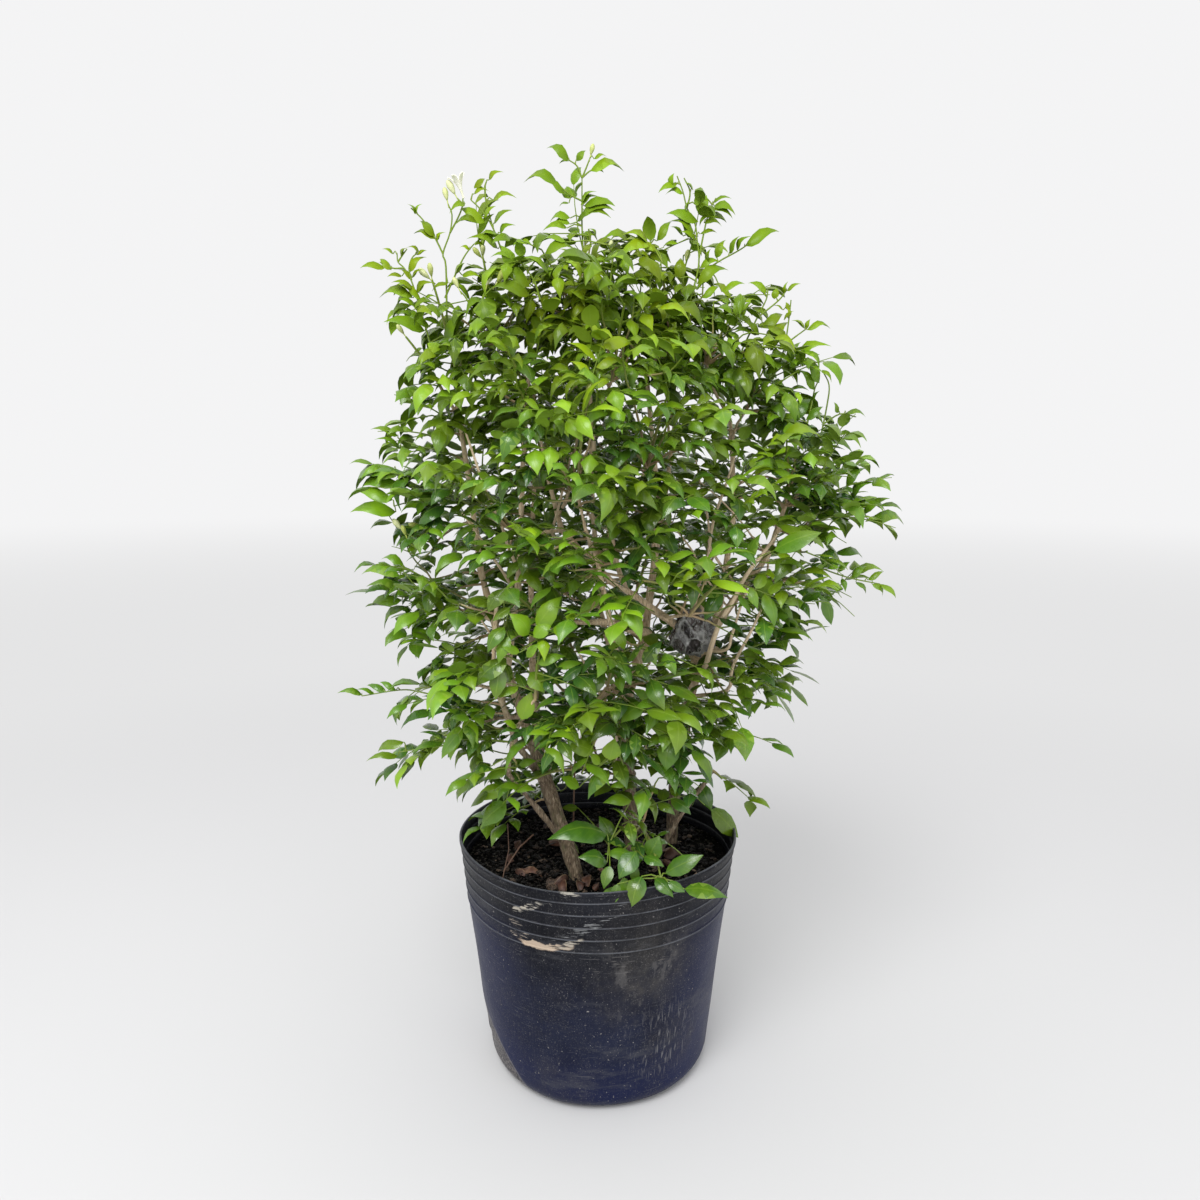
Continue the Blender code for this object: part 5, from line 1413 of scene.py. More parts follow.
# Places where the backdrop shows through: across, down and radius, as above
openings = (
    (440, 262, 14), (432, 285, 10), (470, 252, 12), (470, 215, 12), (545, 210, 12), (620, 215, 12),
    (690, 258, 8), (668, 262, 6), (760, 262, 16), (738, 272, 8), (775, 275, 8), (802, 378, 8), (845, 388, 12),
    (378, 350, 16), (368, 335, 12), (395, 366, 12), (352, 448, 14), (372, 540, 16), (390, 532, 10),
    (850, 600, 14), (868, 612, 18), (840, 625, 18), (520, 205, 14), (375, 715, 14), (793, 730, 14),
    (480, 700, 8), (690, 630, 9), (560, 690, 7), (620, 405, 6), (465, 610, 6), (657, 612, 11), (648, 578, 9),
    (603, 620, 8), (638, 600, 6), (414, 692, 11), (428, 708, 8), (446, 662, 6), (820, 690, 14), (385, 462, 7),
    (368, 500, 12), (384, 640, 10), (742, 728, 12), (760, 725, 14), (790, 470, 6), (742, 250, 10),
    (805, 560, 8), (840, 536, 9), (842, 575, 8), (908, 543, 12), (866, 562, 8), (912, 483, 12),
    (888, 452, 12), (885, 428, 10), (858, 376, 12), (830, 398, 7), (380, 545, 14), (396, 552, 9),
    (372, 574, 11), (385, 612, 11), (860, 536, 14), (862, 415, 12), (852, 448, 9), (800, 590, 6),
    (412, 575, 7), (815, 612, 8), (353, 306, 14), (372, 306, 9), (385, 404, 10), (860, 640, 14),
    (880, 540, 9), (722, 640, 6), (700, 700, 7), (880, 470, 8), (760, 740, 12), (827, 361, 9), (869, 431, 7),
    (393, 515, 9), (855, 557, 7), (393, 697, 9), (407, 697, 8), (687, 249, 7),
)
clearingRule = {
    "depth": 0.3,
    "start": 0.01,
    "openingPlane": -0.03,
    "pixel": 0.00117,  # of the view of 1200, at that plane
    "limb": 0.0058,
    "thickLimb": 0.009,
    "frontLeaf": 0.011,
    "crownLeaf": 0.008,
}
for path, radius in limbs:
    room = clearingRule["thickLimb" if radius > 0.003 else "limb"]
    for a, b in zip(path, path[1:]):
        clearings += [(Vector(a).lerp(Vector(b), share), room) for share in (0, 0.5)]
for base, tip, _, _ in frontLeaves:
    clearings.append((Vector(base).lerp(Vector(tip), 0.5), clearingRule["frontLeaf"]))


def seenAt(across, down, depth):
    # The place at y = depth that shows there from the front
    tilt = studio["pitchDown"]
    focal = 1200 * studio["lens"] / studio["sensor"]
    reach = (depth - eye.y) / (focal * math.cos(tilt) + (600 - down) * math.sin(tilt))
    return Vector((eye.x + reach * (across - 600), depth,
                   eye.z + reach * ((600 - down) * math.cos(tilt) - focal * math.sin(tilt))))


rule = clearingRule
for part in crown:
    for x, z, tipX, tipZ, _, _ in part["leaves"]:
        middle = seenAt((x + tipX) / 2, (z + tipZ) / 2, part["depth"])
        clearings.append((middle, rule["crownLeaf"]))
clearLines = []
for across, down, radius in openings:
    place = seenAt(across, down, rule["openingPlane"])
    towards = (eye - place).normalized()
    clearLines.append((place - towards * rule["depth"], towards * rule["depth"] * 2, radius * rule["pixel"]))
for start, radius in clearings:
    start = Vector(start)
    towards = (eye - start).normalized()
    clearLines.append((start - towards * rule["start"], towards * rule["depth"], radius))


def inClearing(place):
    for start, line, radius in clearLines:
        share = min(1.0, max(0.0, (place - start).dot(line) / line.length_squared))
        if (place - start - line * share).length < radius:
            return True
    return False


# Twelve groups of leafy shoots, by height and side
groups = {}
groupRule = {"lowTop": 0.58, "middleTop": 0.8, "sideShare": 1.1}


def groupOf(tip):
    rule = groupRule
    level = "low" if tip.z < rule["lowTop"] else "middle" if tip.z < rule["middleTop"] else "high"
    if abs(tip.x) > abs(tip.y) * rule["sideShare"]:
        side = "Right" if tip.x > 0 else "Left"
    else:
        side = "Back" if tip.y > 0 else "Front"
    name = level + side + "Leaves"
    return groups.setdefault(name, {"blades": [], "stalks": [], "nodes": []})


print("leafy shoots of the source")
rule = shootRule
for index, (seat, tip) in enumerate(cadShoots()):
    nodeName = f"shoot_{index + 1:02d}"
    chord = tip - seat
    bow = up * chord.length * rule["bow"]
    coarse = bezier(seat, seat + chord / 3 + bow, tip - chord / 3 + bow, tip, 2)
    path = bezier(seat, seat + chord / 3 + bow, tip - chord / 3 + bow, tip, 6)
    path[0] = seat - (path[1] - path[0]).normalized() * rule["sink"]
    store = groupOf(tip)
    store["nodes"].append(nodeName)
    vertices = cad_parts[nodeName].data.vertices
    around = KDTree(len(vertices))
    for vertex in vertices:
        around.insert(vertex.co, vertex.index)
    around.balance()
    outward = Vector((tip.x, tip.y, 0)).normalized()
    sideways = up.cross(outward) * (1 if index % 2 else -1)
    rng = random.Random(leafRule["seed"] + index)
    fineRng = random.Random(rule["fineSeed"] + index)
    steps = len(path) - 1
    store["stalks"].append([
        (p, rule["root"] + (rule["end"] - rule["root"]) * i / steps, 0.9 * (1 - i / steps) ** 2)
        for i, p in enumerate(path)
    ])
    for k, share in enumerate(rule["leafPlaces"]):
        place, along = onPath(coarse, share)
        rib = blend(leafRule["sideLeaf"] if k == 0 else leafRule["lastLeaf"], along, outward, sideways)
        rib += stray(rng, leafRule["ribStray"])
        face = blend(leafRule["face"], along, outward, sideways) + stray(rng, leafRule["faceStray"])
        frameAt = leafFrame(place, rib, face)
        lines, end = leafletLines(rng, leafRule["pairSizes"], leafRule["length"], leafRule["pairStep"])
        # The source turned each leaf until it was clear of the rest, so its tip says which turn it took
        best = None
        for pitch in leafRule["pitches"]:
            for yaw in leafRule["yaws"]:
                turned = frameAt @ Matrix.Rotation(math.radians(yaw), 4, "Z")
                turned = turned @ Matrix.Rotation(math.radians(pitch), 4, "Y")
                miss = max(around.find(turned @ line[1])[2] for line in lines)
                if best is None or miss < best[0] - 1e-6:
                    best = miss, turned
        if best[0] > 0.001:
            print(nodeName, "leaf", k, "misses by", round(best[0] * 1000, 1), "mm")
        form = leafRule["fineForms"][fineRng.random() < 0.35]
        addLeaf(store, best[1], form, youngAt(best[1] @ lines[-1][1], fineRng), fineRng)
    for k, share in enumerate(rule["extraLeaves"]):
        place, along = onPath(path, share)
        rib = blend(leafRule["sideLeaf"], along, outward, sideways * (1 if k else -1)) + stray(fineRng, 0.3)
        face = blend(leafRule["face"], along, outward, sideways) + stray(fineRng, 0.35)
        form = leafRule["otherForms"][fineRng.random() < 0.5]
        addLeaf(store, leafFrame(place, rib, face), form, youngAt(place, fineRng), fineRng)

# More leafy twigs between them, from the nearest wood out to the canopy's shells
print("more twigs")
twigRule = {
    "seed": 71,
    "levels": 11,
    "lowest": 0.385,
    "highest": 1.0,
    "shells": ((0.98, 0.082), (0.72, 0.135), (0.45, 0.24)),  # share of the reach, and spacing
    "leafSpan": 0.09,
    "lowThinning": 0.62,  # of the number, at the lowest level
    "endLeaf": (0.85, 0.15, -0.25, -0.05),
    "sideLeaf": (0.4, 0.3, 0.8, 0.0),
    "highEndLeaf": (0.5, 0.3, 0.65, -0.05),
    "highSideLeaf": (0.25, 0.3, 0.85, -0.05),
    # Hollows in the outline: height and half of it, turn and half of it in degrees, depth
    "hollows": (
        (0.885, 0.08, 180, 60, 0.11), (0.66, 0.045, 180, 50, 0.08), (0.54, 0.06, 180, 40, 0.015),
        (0.44, 0.045, 180, 50, 0.04), (0.57, 0.075, 0, 60, 0.13), (0.445, 0.06, 0, 50, 0.05),
        (0.39, 0.04, 0, 70, 0.03), (0.97, 0.06, 0, 60, 0.1), (0.98, 0.06, 180, 60, 0.05),
    ),
    # Upright sprays at the top: the ends of their stalks
    "sprays": (
        (0.0, 0.01, 0.955), (-0.04, 0.01, 0.95), (0.1, 0.02, 0.985), (0.124, 0.01, 0.965),
        (0.05, 0.0, 0.95), (0.02, -0.03, 0.945), (0.075, -0.02, 0.945), (-0.086, -0.03, 0.94),
        (-0.11, -0.01, 0.93), (-0.065, -0.05, 0.935), (-0.02, -0.06, 0.935), (0.04, -0.07, 0.93),
        (0.13, -0.03, 0.925), (0.155, 0.0, 0.92), (0.1, -0.06, 0.91), (-0.13, -0.05, 0.905),
        (-0.164, -0.04, 0.88), (0.08, 0.05, 0.96), (-0.07, 0.05, 0.945), (0.03, -0.02, 0.968),
        (0.062, -0.01, 0.965), (0.0, -0.05, 0.955), (-0.04, -0.07, 0.95), (0.075, 0.02, 0.99),
    ),
    # Sideways sprays that fill the outline
    "fillers": (
        (0.196, -0.03, 0.856), (0.21, -0.04, 0.84), (0.19, -0.06, 0.874), (0.222, -0.02, 0.8),
        (0.262, -0.04, 0.74), (0.27, -0.04, 0.715), (0.25, -0.06, 0.7), (0.175, -0.09, 0.59),
        (0.18, -0.07, 0.54), (0.16, -0.085, 0.51), (0.12, -0.06, 0.43),
        (-0.21, -0.05, 0.725), (-0.205, -0.06, 0.715), (-0.195, -0.04, 0.735), (-0.11, -0.08, 0.43),
        (-0.2, -0.06, 0.6), (-0.19, -0.05, 0.585), (-0.205, -0.04, 0.615), (0.255, -0.04, 0.69),
        (0.23, -0.05, 0.675), (0.18, -0.085, 0.58), (0.15, -0.1, 0.57), (0.135, -0.11, 0.59),
        (0.18, -0.06, 0.505), (0.16, -0.08, 0.485), (0.12, -0.11, 0.49), (-0.185, -0.05, 0.8),
        (-0.17, -0.08, 0.8), (-0.15, -0.07, 0.82), (-0.17, -0.06, 0.85), (-0.15, -0.08, 0.86),
        (-0.195, -0.06, 0.78), (0.24, -0.05, 0.78), (0.23, -0.07, 0.76), (0.25, -0.03, 0.795),
        (0.19, -0.04, 0.875), (0.17, -0.05, 0.89), (-0.195, -0.07, 0.62), (0.16, -0.08, 0.62),
        (-0.12, -0.1, 0.47), (-0.1, -0.11, 0.44),
        (0.13, -0.13, 0.64), (0.08, -0.15, 0.61), (0.02, -0.17, 0.68), (-0.03, -0.16, 0.64),
        (0.11, -0.12, 0.675), (0.16, -0.1, 0.715), (0.202, -0.08, 0.712), (0.165, -0.08, 0.575),
        (0.172, -0.07, 0.528), (-0.018, -0.15, 0.678), (-0.143, -0.1, 0.835), (0.023, -0.16, 0.755),
        (-0.061, -0.08, 0.962), (-0.153, -0.09, 0.486), (-0.107, -0.12, 0.496), (0.161, -0.06, 0.436),
        (-0.017, -0.05, 1.0), (0.068, -0.05, 1.0), (-0.195, -0.05, 0.924), (0.2, -0.11, 0.672),
        (0.185, -0.1, 0.69), (-0.06, -0.06, 0.975), (-0.01, -0.04, 1.012),
        (-0.17, -0.07, 0.545), (-0.125, -0.08, 0.45),
    ),
    # A twig starts where the wood costs least: how far back from its end it looks, and what adds to the cost
    "back": 0.1,
    "bendCost": 0.8,
    "lowCost": 5,
    "lowHeight": 0.3,
    "wrapCost": 2,
    "wrapRoom": 0.06,
    "steps": 7,
    "wander": 0.02,
    "ribStray": 0.3,
    "faceStray": 0.28,
    "leaves": 4,
    "sprayLeaves": 6,
    "leafGap": 0.024,
    "root": 0.0016,
    "end": 0.0008,
}


def twigReach(height, turn):
    found = canopyReach(height, turn)
    for level, halfHeight, middle, halfTurn, depth in twigRule["hollows"]:
        off = abs((math.degrees(turn) - middle + 180) % 360 - 180) / halfTurn
        away = math.hypot(off, (height - level) / halfHeight)
        found -= depth * (1 - smoothStep(away, 0.4, 1.3))
    return found


def addTwig(tip, along, rng, leaves=None):
    rule = twigRule
    want = tip - along * rule["back"] - up * 0.01
    best = None
    for place, _, _ in wood.find_n(want, 40) + wood.find_n(tip, 40):
        span = tip - place
        bend = 1 - span.normalized().dot(along)
        cost = span.length * (1 + rule["bendCost"] * bend)
        cost += rule["lowCost"] * max(0, rule["lowHeight"] - place.z)
        cost += rule["wrapCost"] * max(0, rule["wrapRoom"] - (place - Vector(wrapPlace)).length)
        if best is None or cost < best[0]:
            best = cost, place
    seat = best[1]
    span = (tip - seat).length
    leave = (tip - seat).normalized() + Vector((seat.x, seat.y, 0)).normalized() * 0.3 + up * 0.2
    leave.normalize()
    steps = rule["steps"]
    path = bezier(seat, seat + leave * span * 0.35, tip - along * span * 0.35, tip, steps)
    for i in range(1, steps):
        path[i] += stray(rng, rule["wander"] * span)
    store = groupOf(tip)
    outward = Vector((tip.x, tip.y, 0)).normalized()
    sideways = along.cross(up)
    sideways = sideways.normalized() if sideways.length > 0.1 else Vector((1, 0, 0))
    count = min(leaves or rule["leaves"], 1 + int(span / rule["leafGap"]))
    flip = rng.choice((-1, 1))
    reached = 0
    for k in range(count):
        share = max(0.12, 1 - k * rule["leafGap"] / span)
        place, line = onPath(path, share)
        flip = -flip
        kind = "highEndLeaf" if k == 0 else "highSideLeaf"
        if rng.random() > smoothStep(place.z, 0.72, 0.92):
            kind = "endLeaf" if k == 0 else "sideLeaf"
        rib = blend(rule[kind], line, outward, sideways * flip) + stray(rng, rule["ribStray"])
        face = outward * 0.2 + up * 0.95 + stray(rng, rule["faceStray"])
        placed = leafFrame(place, rib, face)
        form = leafRule["otherForms"][rng.random() < 0.5]
        if addLeaf(store, placed, form, youngAt(placed @ Vector((0.05, 0, 0)), rng) - 0.03 * k, rng):
            reached = max(reached, math.ceil(share * steps))
    if reached:
        store["stalks"].append([
            (p, rule["root"] * (1 + 2 * max(0, span - 0.1)) * (1 - i / steps) + rule["end"] * i / steps,
             1 - smoothStep(i / steps, 0.25, 0.9))
            for i, p in enumerate(path[:reached + 1])
        ])


rng = random.Random(twigRule["seed"])
rule = twigRule
for i in range(rule["levels"]):
    height = rule["lowest"] + (rule["highest"] - rule["lowest"]) * i / (rule["levels"] - 1)
    for shellShare, spacing in rule["shells"]:
        around = math.pi * 2 * shellShare * canopyReach(height, 0) * 0.9
        thinning = rule["lowThinning"] + (1 - rule["lowThinning"]) * smoothStep(height, 0.4, 0.6)
        count = max(3, round(around * thinning / spacing))
        start = rng.uniform(0, math.tau)
        for k in range(count):
            turn = start + math.tau * (k + rng.uniform(-0.3, 0.3)) / count
            level = height + rng.uniform(-0.03, 0.03)
            lift = math.radians(12 + 60 * smoothStep(level, 0.38, 1.0) + rng.uniform(-20, 20))
            outward = Vector((math.cos(turn), math.sin(turn), 0))
            along = outward * math.cos(lift) + up * math.sin(lift)
            tip = outward * twigReach(level, turn) * shellShare * rng.uniform(0.84, 1.04) + up * level
            tip -= along * rule["leafSpan"]
            if not inClearing(tip):
                addTwig(tip, along, random.Random(f"{i} {shellShare} {k}"))
for place in rule["sprays"]:
    end = Vector(place)
    rng = random.Random(f"spray {place}")
    along = (Vector((end.x * 0.8, end.y * 0.8, 0.9)) + stray(rng, 0.2)).normalized()
    addTwig(end, along, rng, rule["sprayLeaves"])
for place in rule["fillers"]:
    end = Vector(place)
    rng = random.Random(f"filler {place}")
    along = (Vector((end.x, end.y, 0)).normalized() + up * 0.45 + stray(rng, 0.3)).normalized()
    addTwig(end, along, rng)

# The leaves that show one by one, and the thin limbs
print("front leaves and thin limbs")
frontRule = {
    "seed": 5,
    "stalk": 0.0017,
    "lowBelow": 0.36,  # leaves lower down are older and darker, and painted darker still as painted shade
    "lowYoung": 0.55,
    "skyward": 0.45,
    "crownSkyward": 0.72,
    "kinds": (0, 1, 2),
    "crownKinds": (3, 4, 5, 6),
    "crownStalk": 0.0011,
}
rng = random.Random(frontRule["seed"])
store = groups["lowFrontLeaves"]
hubs = [Vector(place) for place in frontHubs]
for hub in hubs:
    seat = wood.find(hub - up * 0.03)[0]
    path = bezier(seat, seat.lerp(hub, 0.35) + up * 0.015, seat.lerp(hub, 0.7) + up * 0.015, hub, 6)
    store["stalks"].append([(p, frontRule["stalk"] - 0.0001 * i, 0.5 - 0.08 * i) for i, p in enumerate(path)])


def addShown(store, leaf, kinds, skyward, hubs):
    # The blade is turned and sized so that its hooked tip ends where the list says
    base, tip, width, young = leaf
    base, tip = Vector(base), Vector(tip)
    towards = (eye - base).normalized()
    face = up * skyward + towards * (1 - skyward) + stray(rng, 0.12)
    kind = rng.choice(kinds)
    drop = leafletRule["kinds"][kind][2] * 2 * (1 - 0.45) ** 2
    line = tip - base
    away = (face - line * (face.dot(line) / line.length_squared)).normalized()
    length = line.length / math.hypot(1, drop)
    heading = line.normalized() + away * drop
    isLow = base.z < frontRule["lowBelow"]
    store["blades"].append({
        "place": base,
        "turn": turnOf(heading, face).to_quaternion(),
        "size": (length, line.length * width / 0.5, length),
        "kind": kind,
        # Low leaves get a lower young value and a darker tone: partly older leaves, partly painted shade
        "young": min(0.85, young + rng.gauss(0, 0.05)) * (frontRule["lowYoung"] if isLow else 1.0),
        "shade": rng.uniform(0.1, 0.5) if isLow else rng.uniform(0.3, 0.8),
    })
    hub = min(hubs, key=lambda place: (place - base).length)
    if (hub - base).length > 0.001:
        middle = hub.lerp(base, 0.5) + up * 0.003
        store["stalks"].append([(hub, 0.001, 0.1), (middle, 0.0008, 0.0), (base, 0.0006, 0.0)])


for leaf in frontLeaves:
    addShown(store, leaf, frontRule["kinds"], frontRule["skyward"], hubs)


def eased(path, steps):
    # A smooth curve through the places of a path
    found = []
    ends = [path[0] * 2 - path[1], *path, path[-1] * 2 - path[-2]]
    for a, b, c, d in zip(ends, ends[1:], ends[2:], ends[3:]):
        for i in range(steps):
            t = i / steps
            square, cube = 2 * a - 5 * b + 4 * c - d, 3 * b - a - 3 * c + d
            found.append(0.5 * (2 * b + (c - a) * t + square * t**2 + cube * t**3))
    return found + [path[-1]]


for part in crown:
    depth = part["depth"]
    store = groups[part.get("group", "highLeft") + "Leaves"]
    joints = []
    for _, *places in part["stalks"]:
        path = eased([seenAt(x, z, depth) for x, z in zip(places[::2], places[1::2])], 4)
        joints += path
        last = len(path) - 1
        thick = frontRule["crownStalk"]
        store["stalks"].append([(p, thick - 0.0004 * i / last, 0.0) for i, p in enumerate(path)])
    for x, z, tipX, tipZ, width, young in part["leaves"]:
        reach = (seenAt(tipX, tipZ, depth) - seenAt(x, z, depth)).length
        away = depth + rng.choice((-1, 1)) * rng.uniform(0.15, 0.45) * reach
        leaf = seenAt(x, z, depth), seenAt(tipX, tipZ, away), width / 100, young / 100
        addShown(store, leaf, frontRule["crownKinds"], frontRule["crownSkyward"], joints)

limbLines = []
for path, radius in limbs:
    path = [Vector(place) for place in path]
    path = eased([wood.find(path[0] - up * 0.03)[0], *path], 4)
    last = len(path) - 1
    limbLines.append([(p, radius * (1 - 0.5 * i / last), 1.0) for i, p in enumerate(path)])
thinLimbs = grown("thinLimbs", {"blades": [], "stalks": limbLines}, bark, leafletKinds)
finishPiece(thinLimbs, "bark")

for name, store in sorted(groups.items()):
    piece = grown(name, store, leafMaterial, leafletKinds)
    finishPiece(piece, "leaf", *store["nodes"])
    print(name, len(store["blades"]), "leaflets,", len(piece.data.polygons), "faces")


def squareTo(direction):
    side = direction.cross(up)
    if side.length < 0.05:
        side = direction.cross(Vector((0, 1, 0)))
    side.normalize()
    return side, side.cross(direction).normalized()


def tube(path, radii, sides):
    # A closed tapered tube along path
    last = len(path) - 1
    tangents = [(path[min(i + 1, last)] - path[max(i - 1, 0)]).normalized() for i in range(last + 1)]
    points = []
    side = squareTo(tangents[0])[0]
    for centre, radius, tangent in zip(path, radii, tangents):
        side = (side - tangent * side.dot(tangent)).normalized()
        other = tangent.cross(side)
        turns = [math.tau * k / sides for k in range(sides)]
        points += [centre + radius * (math.cos(t) * side + math.sin(t) * other) for t in turns]
    faces = [tuple(reversed(range(sides)))]
    for ring in range(last):
        low, high = ring * sides, (ring + 1) * sides
        faces += [(low + k, low + (k + 1) % sides, high + (k + 1) % sides, high + k) for k in range(sides)]
    top = last * sides
    faces.append(tuple(range(top, top + sides)))
    return points, faces


def joined(name, shapes, material):
    # Shapes of points, faces and greenness as one piece
    points, faces, green = [], [], []
    for shapePoints, shapeFaces, share in shapes:
        first = len(points)
        points += shapePoints
        faces += [tuple(first + i for i in face) for face in shapeFaces]
        green += [share] * len(shapePoints)
    piece = addPiece(name, points, faces, material)
    storeValues(piece.data, "green", green)
    return piece


# The open flower, on the stalk that the source gives it, and the buds
print("flower and buds")
flowerRule = {
    "place": (-0.143, -0.06, 1.028),
    "shoot": 1,
    "bow": (0, -0.003, 0),
    "tube": 0.007,
    "throat": 0.0014,
    "petals": 5,
    "length": 0.019,
    "halfWidth": 0.0024,
    "opening": math.radians(16),
    "curl": math.radians(50),
    "petalHalfThick": 0.0004,
    "stamens": 9,
    "pistil": 0.0085,
    "sharpTurn": math.radians(40),
    "budSeed": 12,
    "bud": 0.014,
    "budRadius": 0.0037,
    "budStalk": 0.006,
}


def makePetalMaterial():
    made, tree, shader = newMaterial("jasmine petal", 0.5)
    cloud = noiseOf(tree, objectPlace(tree), 260, 3, 0.5)
    white = ramp(tree, cloud, [(0.3, (0.8, 0.78, 0.62)), (0.7, (0.92, 0.91, 0.82))])
    lime = ramp(tree, cloud, [(0.3, (0.34, 0.42, 0.05)), (0.7, (0.52, 0.56, 0.12))])
    colour = mixed(tree, attribute(tree, "green"), white, lime)
    tree.links.new(colour, shader.inputs["Base Color"])
    soft = noiseOf(tree, objectPlace(tree), 160, 2, 0.4)
    bump(tree, shader, soft, 0.1, 0.0002)
    return made


petal = makePetalMaterial()


def petalShape(throat, along, turn):
    # A strap that leaves the throat, opens and curls back, with a soft channel down its middle
    rule = flowerRule
    side, other = squareTo(along)
    outward = side * math.cos(turn) + other * math.sin(turn)
    width = along.cross(outward)
    rows, columns = 9, 5
    points = []
    place = throat + outward * rule["throat"] * 0.6
    for layer in (1, -1):
        at = place.copy()
        for i in range(rows):
            t = i / (rows - 1)
            lean = rule["opening"] + rule["curl"] * t * t
            heading = along * math.cos(lean) + outward * math.sin(lean)
            flat = along * math.sin(lean) - outward * math.cos(lean)
            rounded = min(1.0, (1.0 - t) * 3.5 + 0.12) ** 0.6
            half = rule["halfWidth"] * (0.35 + 1.3 * t - 0.2 * t * t) * rounded
            for j in range(columns):
                c = (j / (columns - 1)) * 2 - 1
                dish = flat * 0.0006 * c * c
                points.append(at + width * half * c + dish + flat * rule["petalHalfThick"] * layer)
            at = at + heading * rule["length"] / (rows - 1)
    faces = []
    size = rows * columns
    for i in range(rows - 1):
        for j in range(columns - 1):
            a = i * columns + j
            quad = (a, a + 1, a + columns + 1, a + columns)
            faces.append(quad[::-1])
            faces.append(tuple(k + size for k in quad))
    rim = list(range(columns)) + [i * columns + columns - 1 for i in range(1, rows)]
    rim += [(rows - 1) * columns + j for j in range(columns - 2, -1, -1)]
    rim += [i * columns for i in range(rows - 2, 0, -1)]
    faces += [(a, b, b + size, a + size) for a, b in zip(rim, rim[1:] + rim[:1])]
    return points, faces


def budShape(place, along, length, radius):
    profile = (
        (-0.1, 0.25), (0.05, 0.5), (0.3, 0.82), (0.58, 1.0), (0.82, 0.78), (0.96, 0.4), (1.0, 0.12),
    )
    path = [place + along * length * share for share, _ in profile]
    return tube(path, [radius * share for _, share in profile], 8)


rule = flowerRule
flowerPlace = Vector(rule["place"])
seat, end, _ = shootRule["outline"][rule["shoot"]]
line = (Vector(end) - Vector(seat)).normalized()
start = Vector(end) - line * shootRule["lastLeaf"]
knee = start.lerp(flowerPlace, 0.5) + Vector(rule["bow"])
along = (flowerPlace - knee).normalized()
throat = flowerPlace + along * rule["tube"]
flowerTube = [
    flowerPlace - along * 0.0005, flowerPlace + along * 0.0005, flowerPlace.lerp(throat, 0.5), throat,
]
shapes = [(*tube(flowerTube, [0.0013, 0.001, 0.0011, rule["throat"]], 12), 0.25)]
for k in range(rule["petals"]):
    shapes.append((*petalShape(throat, along, math.tau * (k + 0.2) / rule["petals"]), 0.0))
side, other = squareTo(along)
for k in range(rule["stamens"] + 1):
    # The last is the pistil, in their middle
    turn = math.tau * k / rule["stamens"]
    lean = 0.0 if k == rule["stamens"] else 0.25
    way = (along + (side * math.cos(turn) + other * math.sin(turn)) * lean).normalized()
    reachOut = rule["pistil"] if k == rule["stamens"] else 0.0065 + 0.0012 * (k % 2)
    line = [throat - along * 0.001, throat + way * reachOut * 0.6, throat + way * reachOut]
    line.append(throat + way * (reachOut + 0.0012))
    shapes.append((*tube(line, [0.00022, 0.00018, 0.00045, 0.00025], 6), 0.7))
bloom = joined("openFlower", shapes, petal)
bloom.data.set_sharp_from_angle(angle=rule["sharpTurn"])
finishPiece(bloom, "petal", "bloom")

# Unopened buds, at the shoots' tips and a few on the sprays: place, and the way each points
budPlaces = []
for seat, end, budCount in shootRule["outline"]:
    line = (Vector(end) - Vector(seat)).normalized()
    tip = Vector(end) - line * shootRule["lastLeaf"]
    for k in range(budCount):
        lean = squareTo(line)[k] * (0.4, 0.72)[k]
        budPlaces.append((tip - line * 0.0015 * k, (line - lean).normalized()))
for part in crown:
    for bud, *places in part["stalks"]:
        if bud:
            before, end = (seenAt(*seen, part["depth"]) for seen in (places[-4:-2], places[-2:]))
            budPlaces.append((end, ((end - before).normalized() + up * 0.6).normalized()))
rng = random.Random(rule["budSeed"])
shapes = []
for k, (place, way) in enumerate(budPlaces):
    size = rng.uniform(0.75, 1.1)
    stalkEnd = place + way * rule["budStalk"] * size
    shapes.append((*tube([place - way * 0.004, place, stalkEnd], [0.0007, 0.0006, 0.0007], 6), 1.0))
    bud = budShape(stalkEnd, way, rule["bud"] * size, rule["budRadius"] * size)
    shapes.append((*bud, rng.uniform(0.55, 1.0)))
buds = joined("flowerBuds", shapes, petal)
finishPiece(buds, "petal")

# Old plastic film crumpled round the sawn limb
print("wrap")
wrapRule = {
    "centre": wrapPlace,
    "size": (0.0268, 0.022, 0.0285),
    "seed": 8,
    "facets": 32,
    "mostReach": 1.35,
    "bendScale": 2.2,
    "bend": 0.22,
    "crumple": 0.14,
    # How large and how deep: broad folds, with a shift of each pattern, and finer pleats
    "folds": ((1.9, 1.0, (3, 1, 7)), (4.3, 0.5, (0, 0, 0))),
    "pleats": ((5.2, 0.11), (12.0, 0.055), (24.0, 0.03)),
    "detail": 6,
}


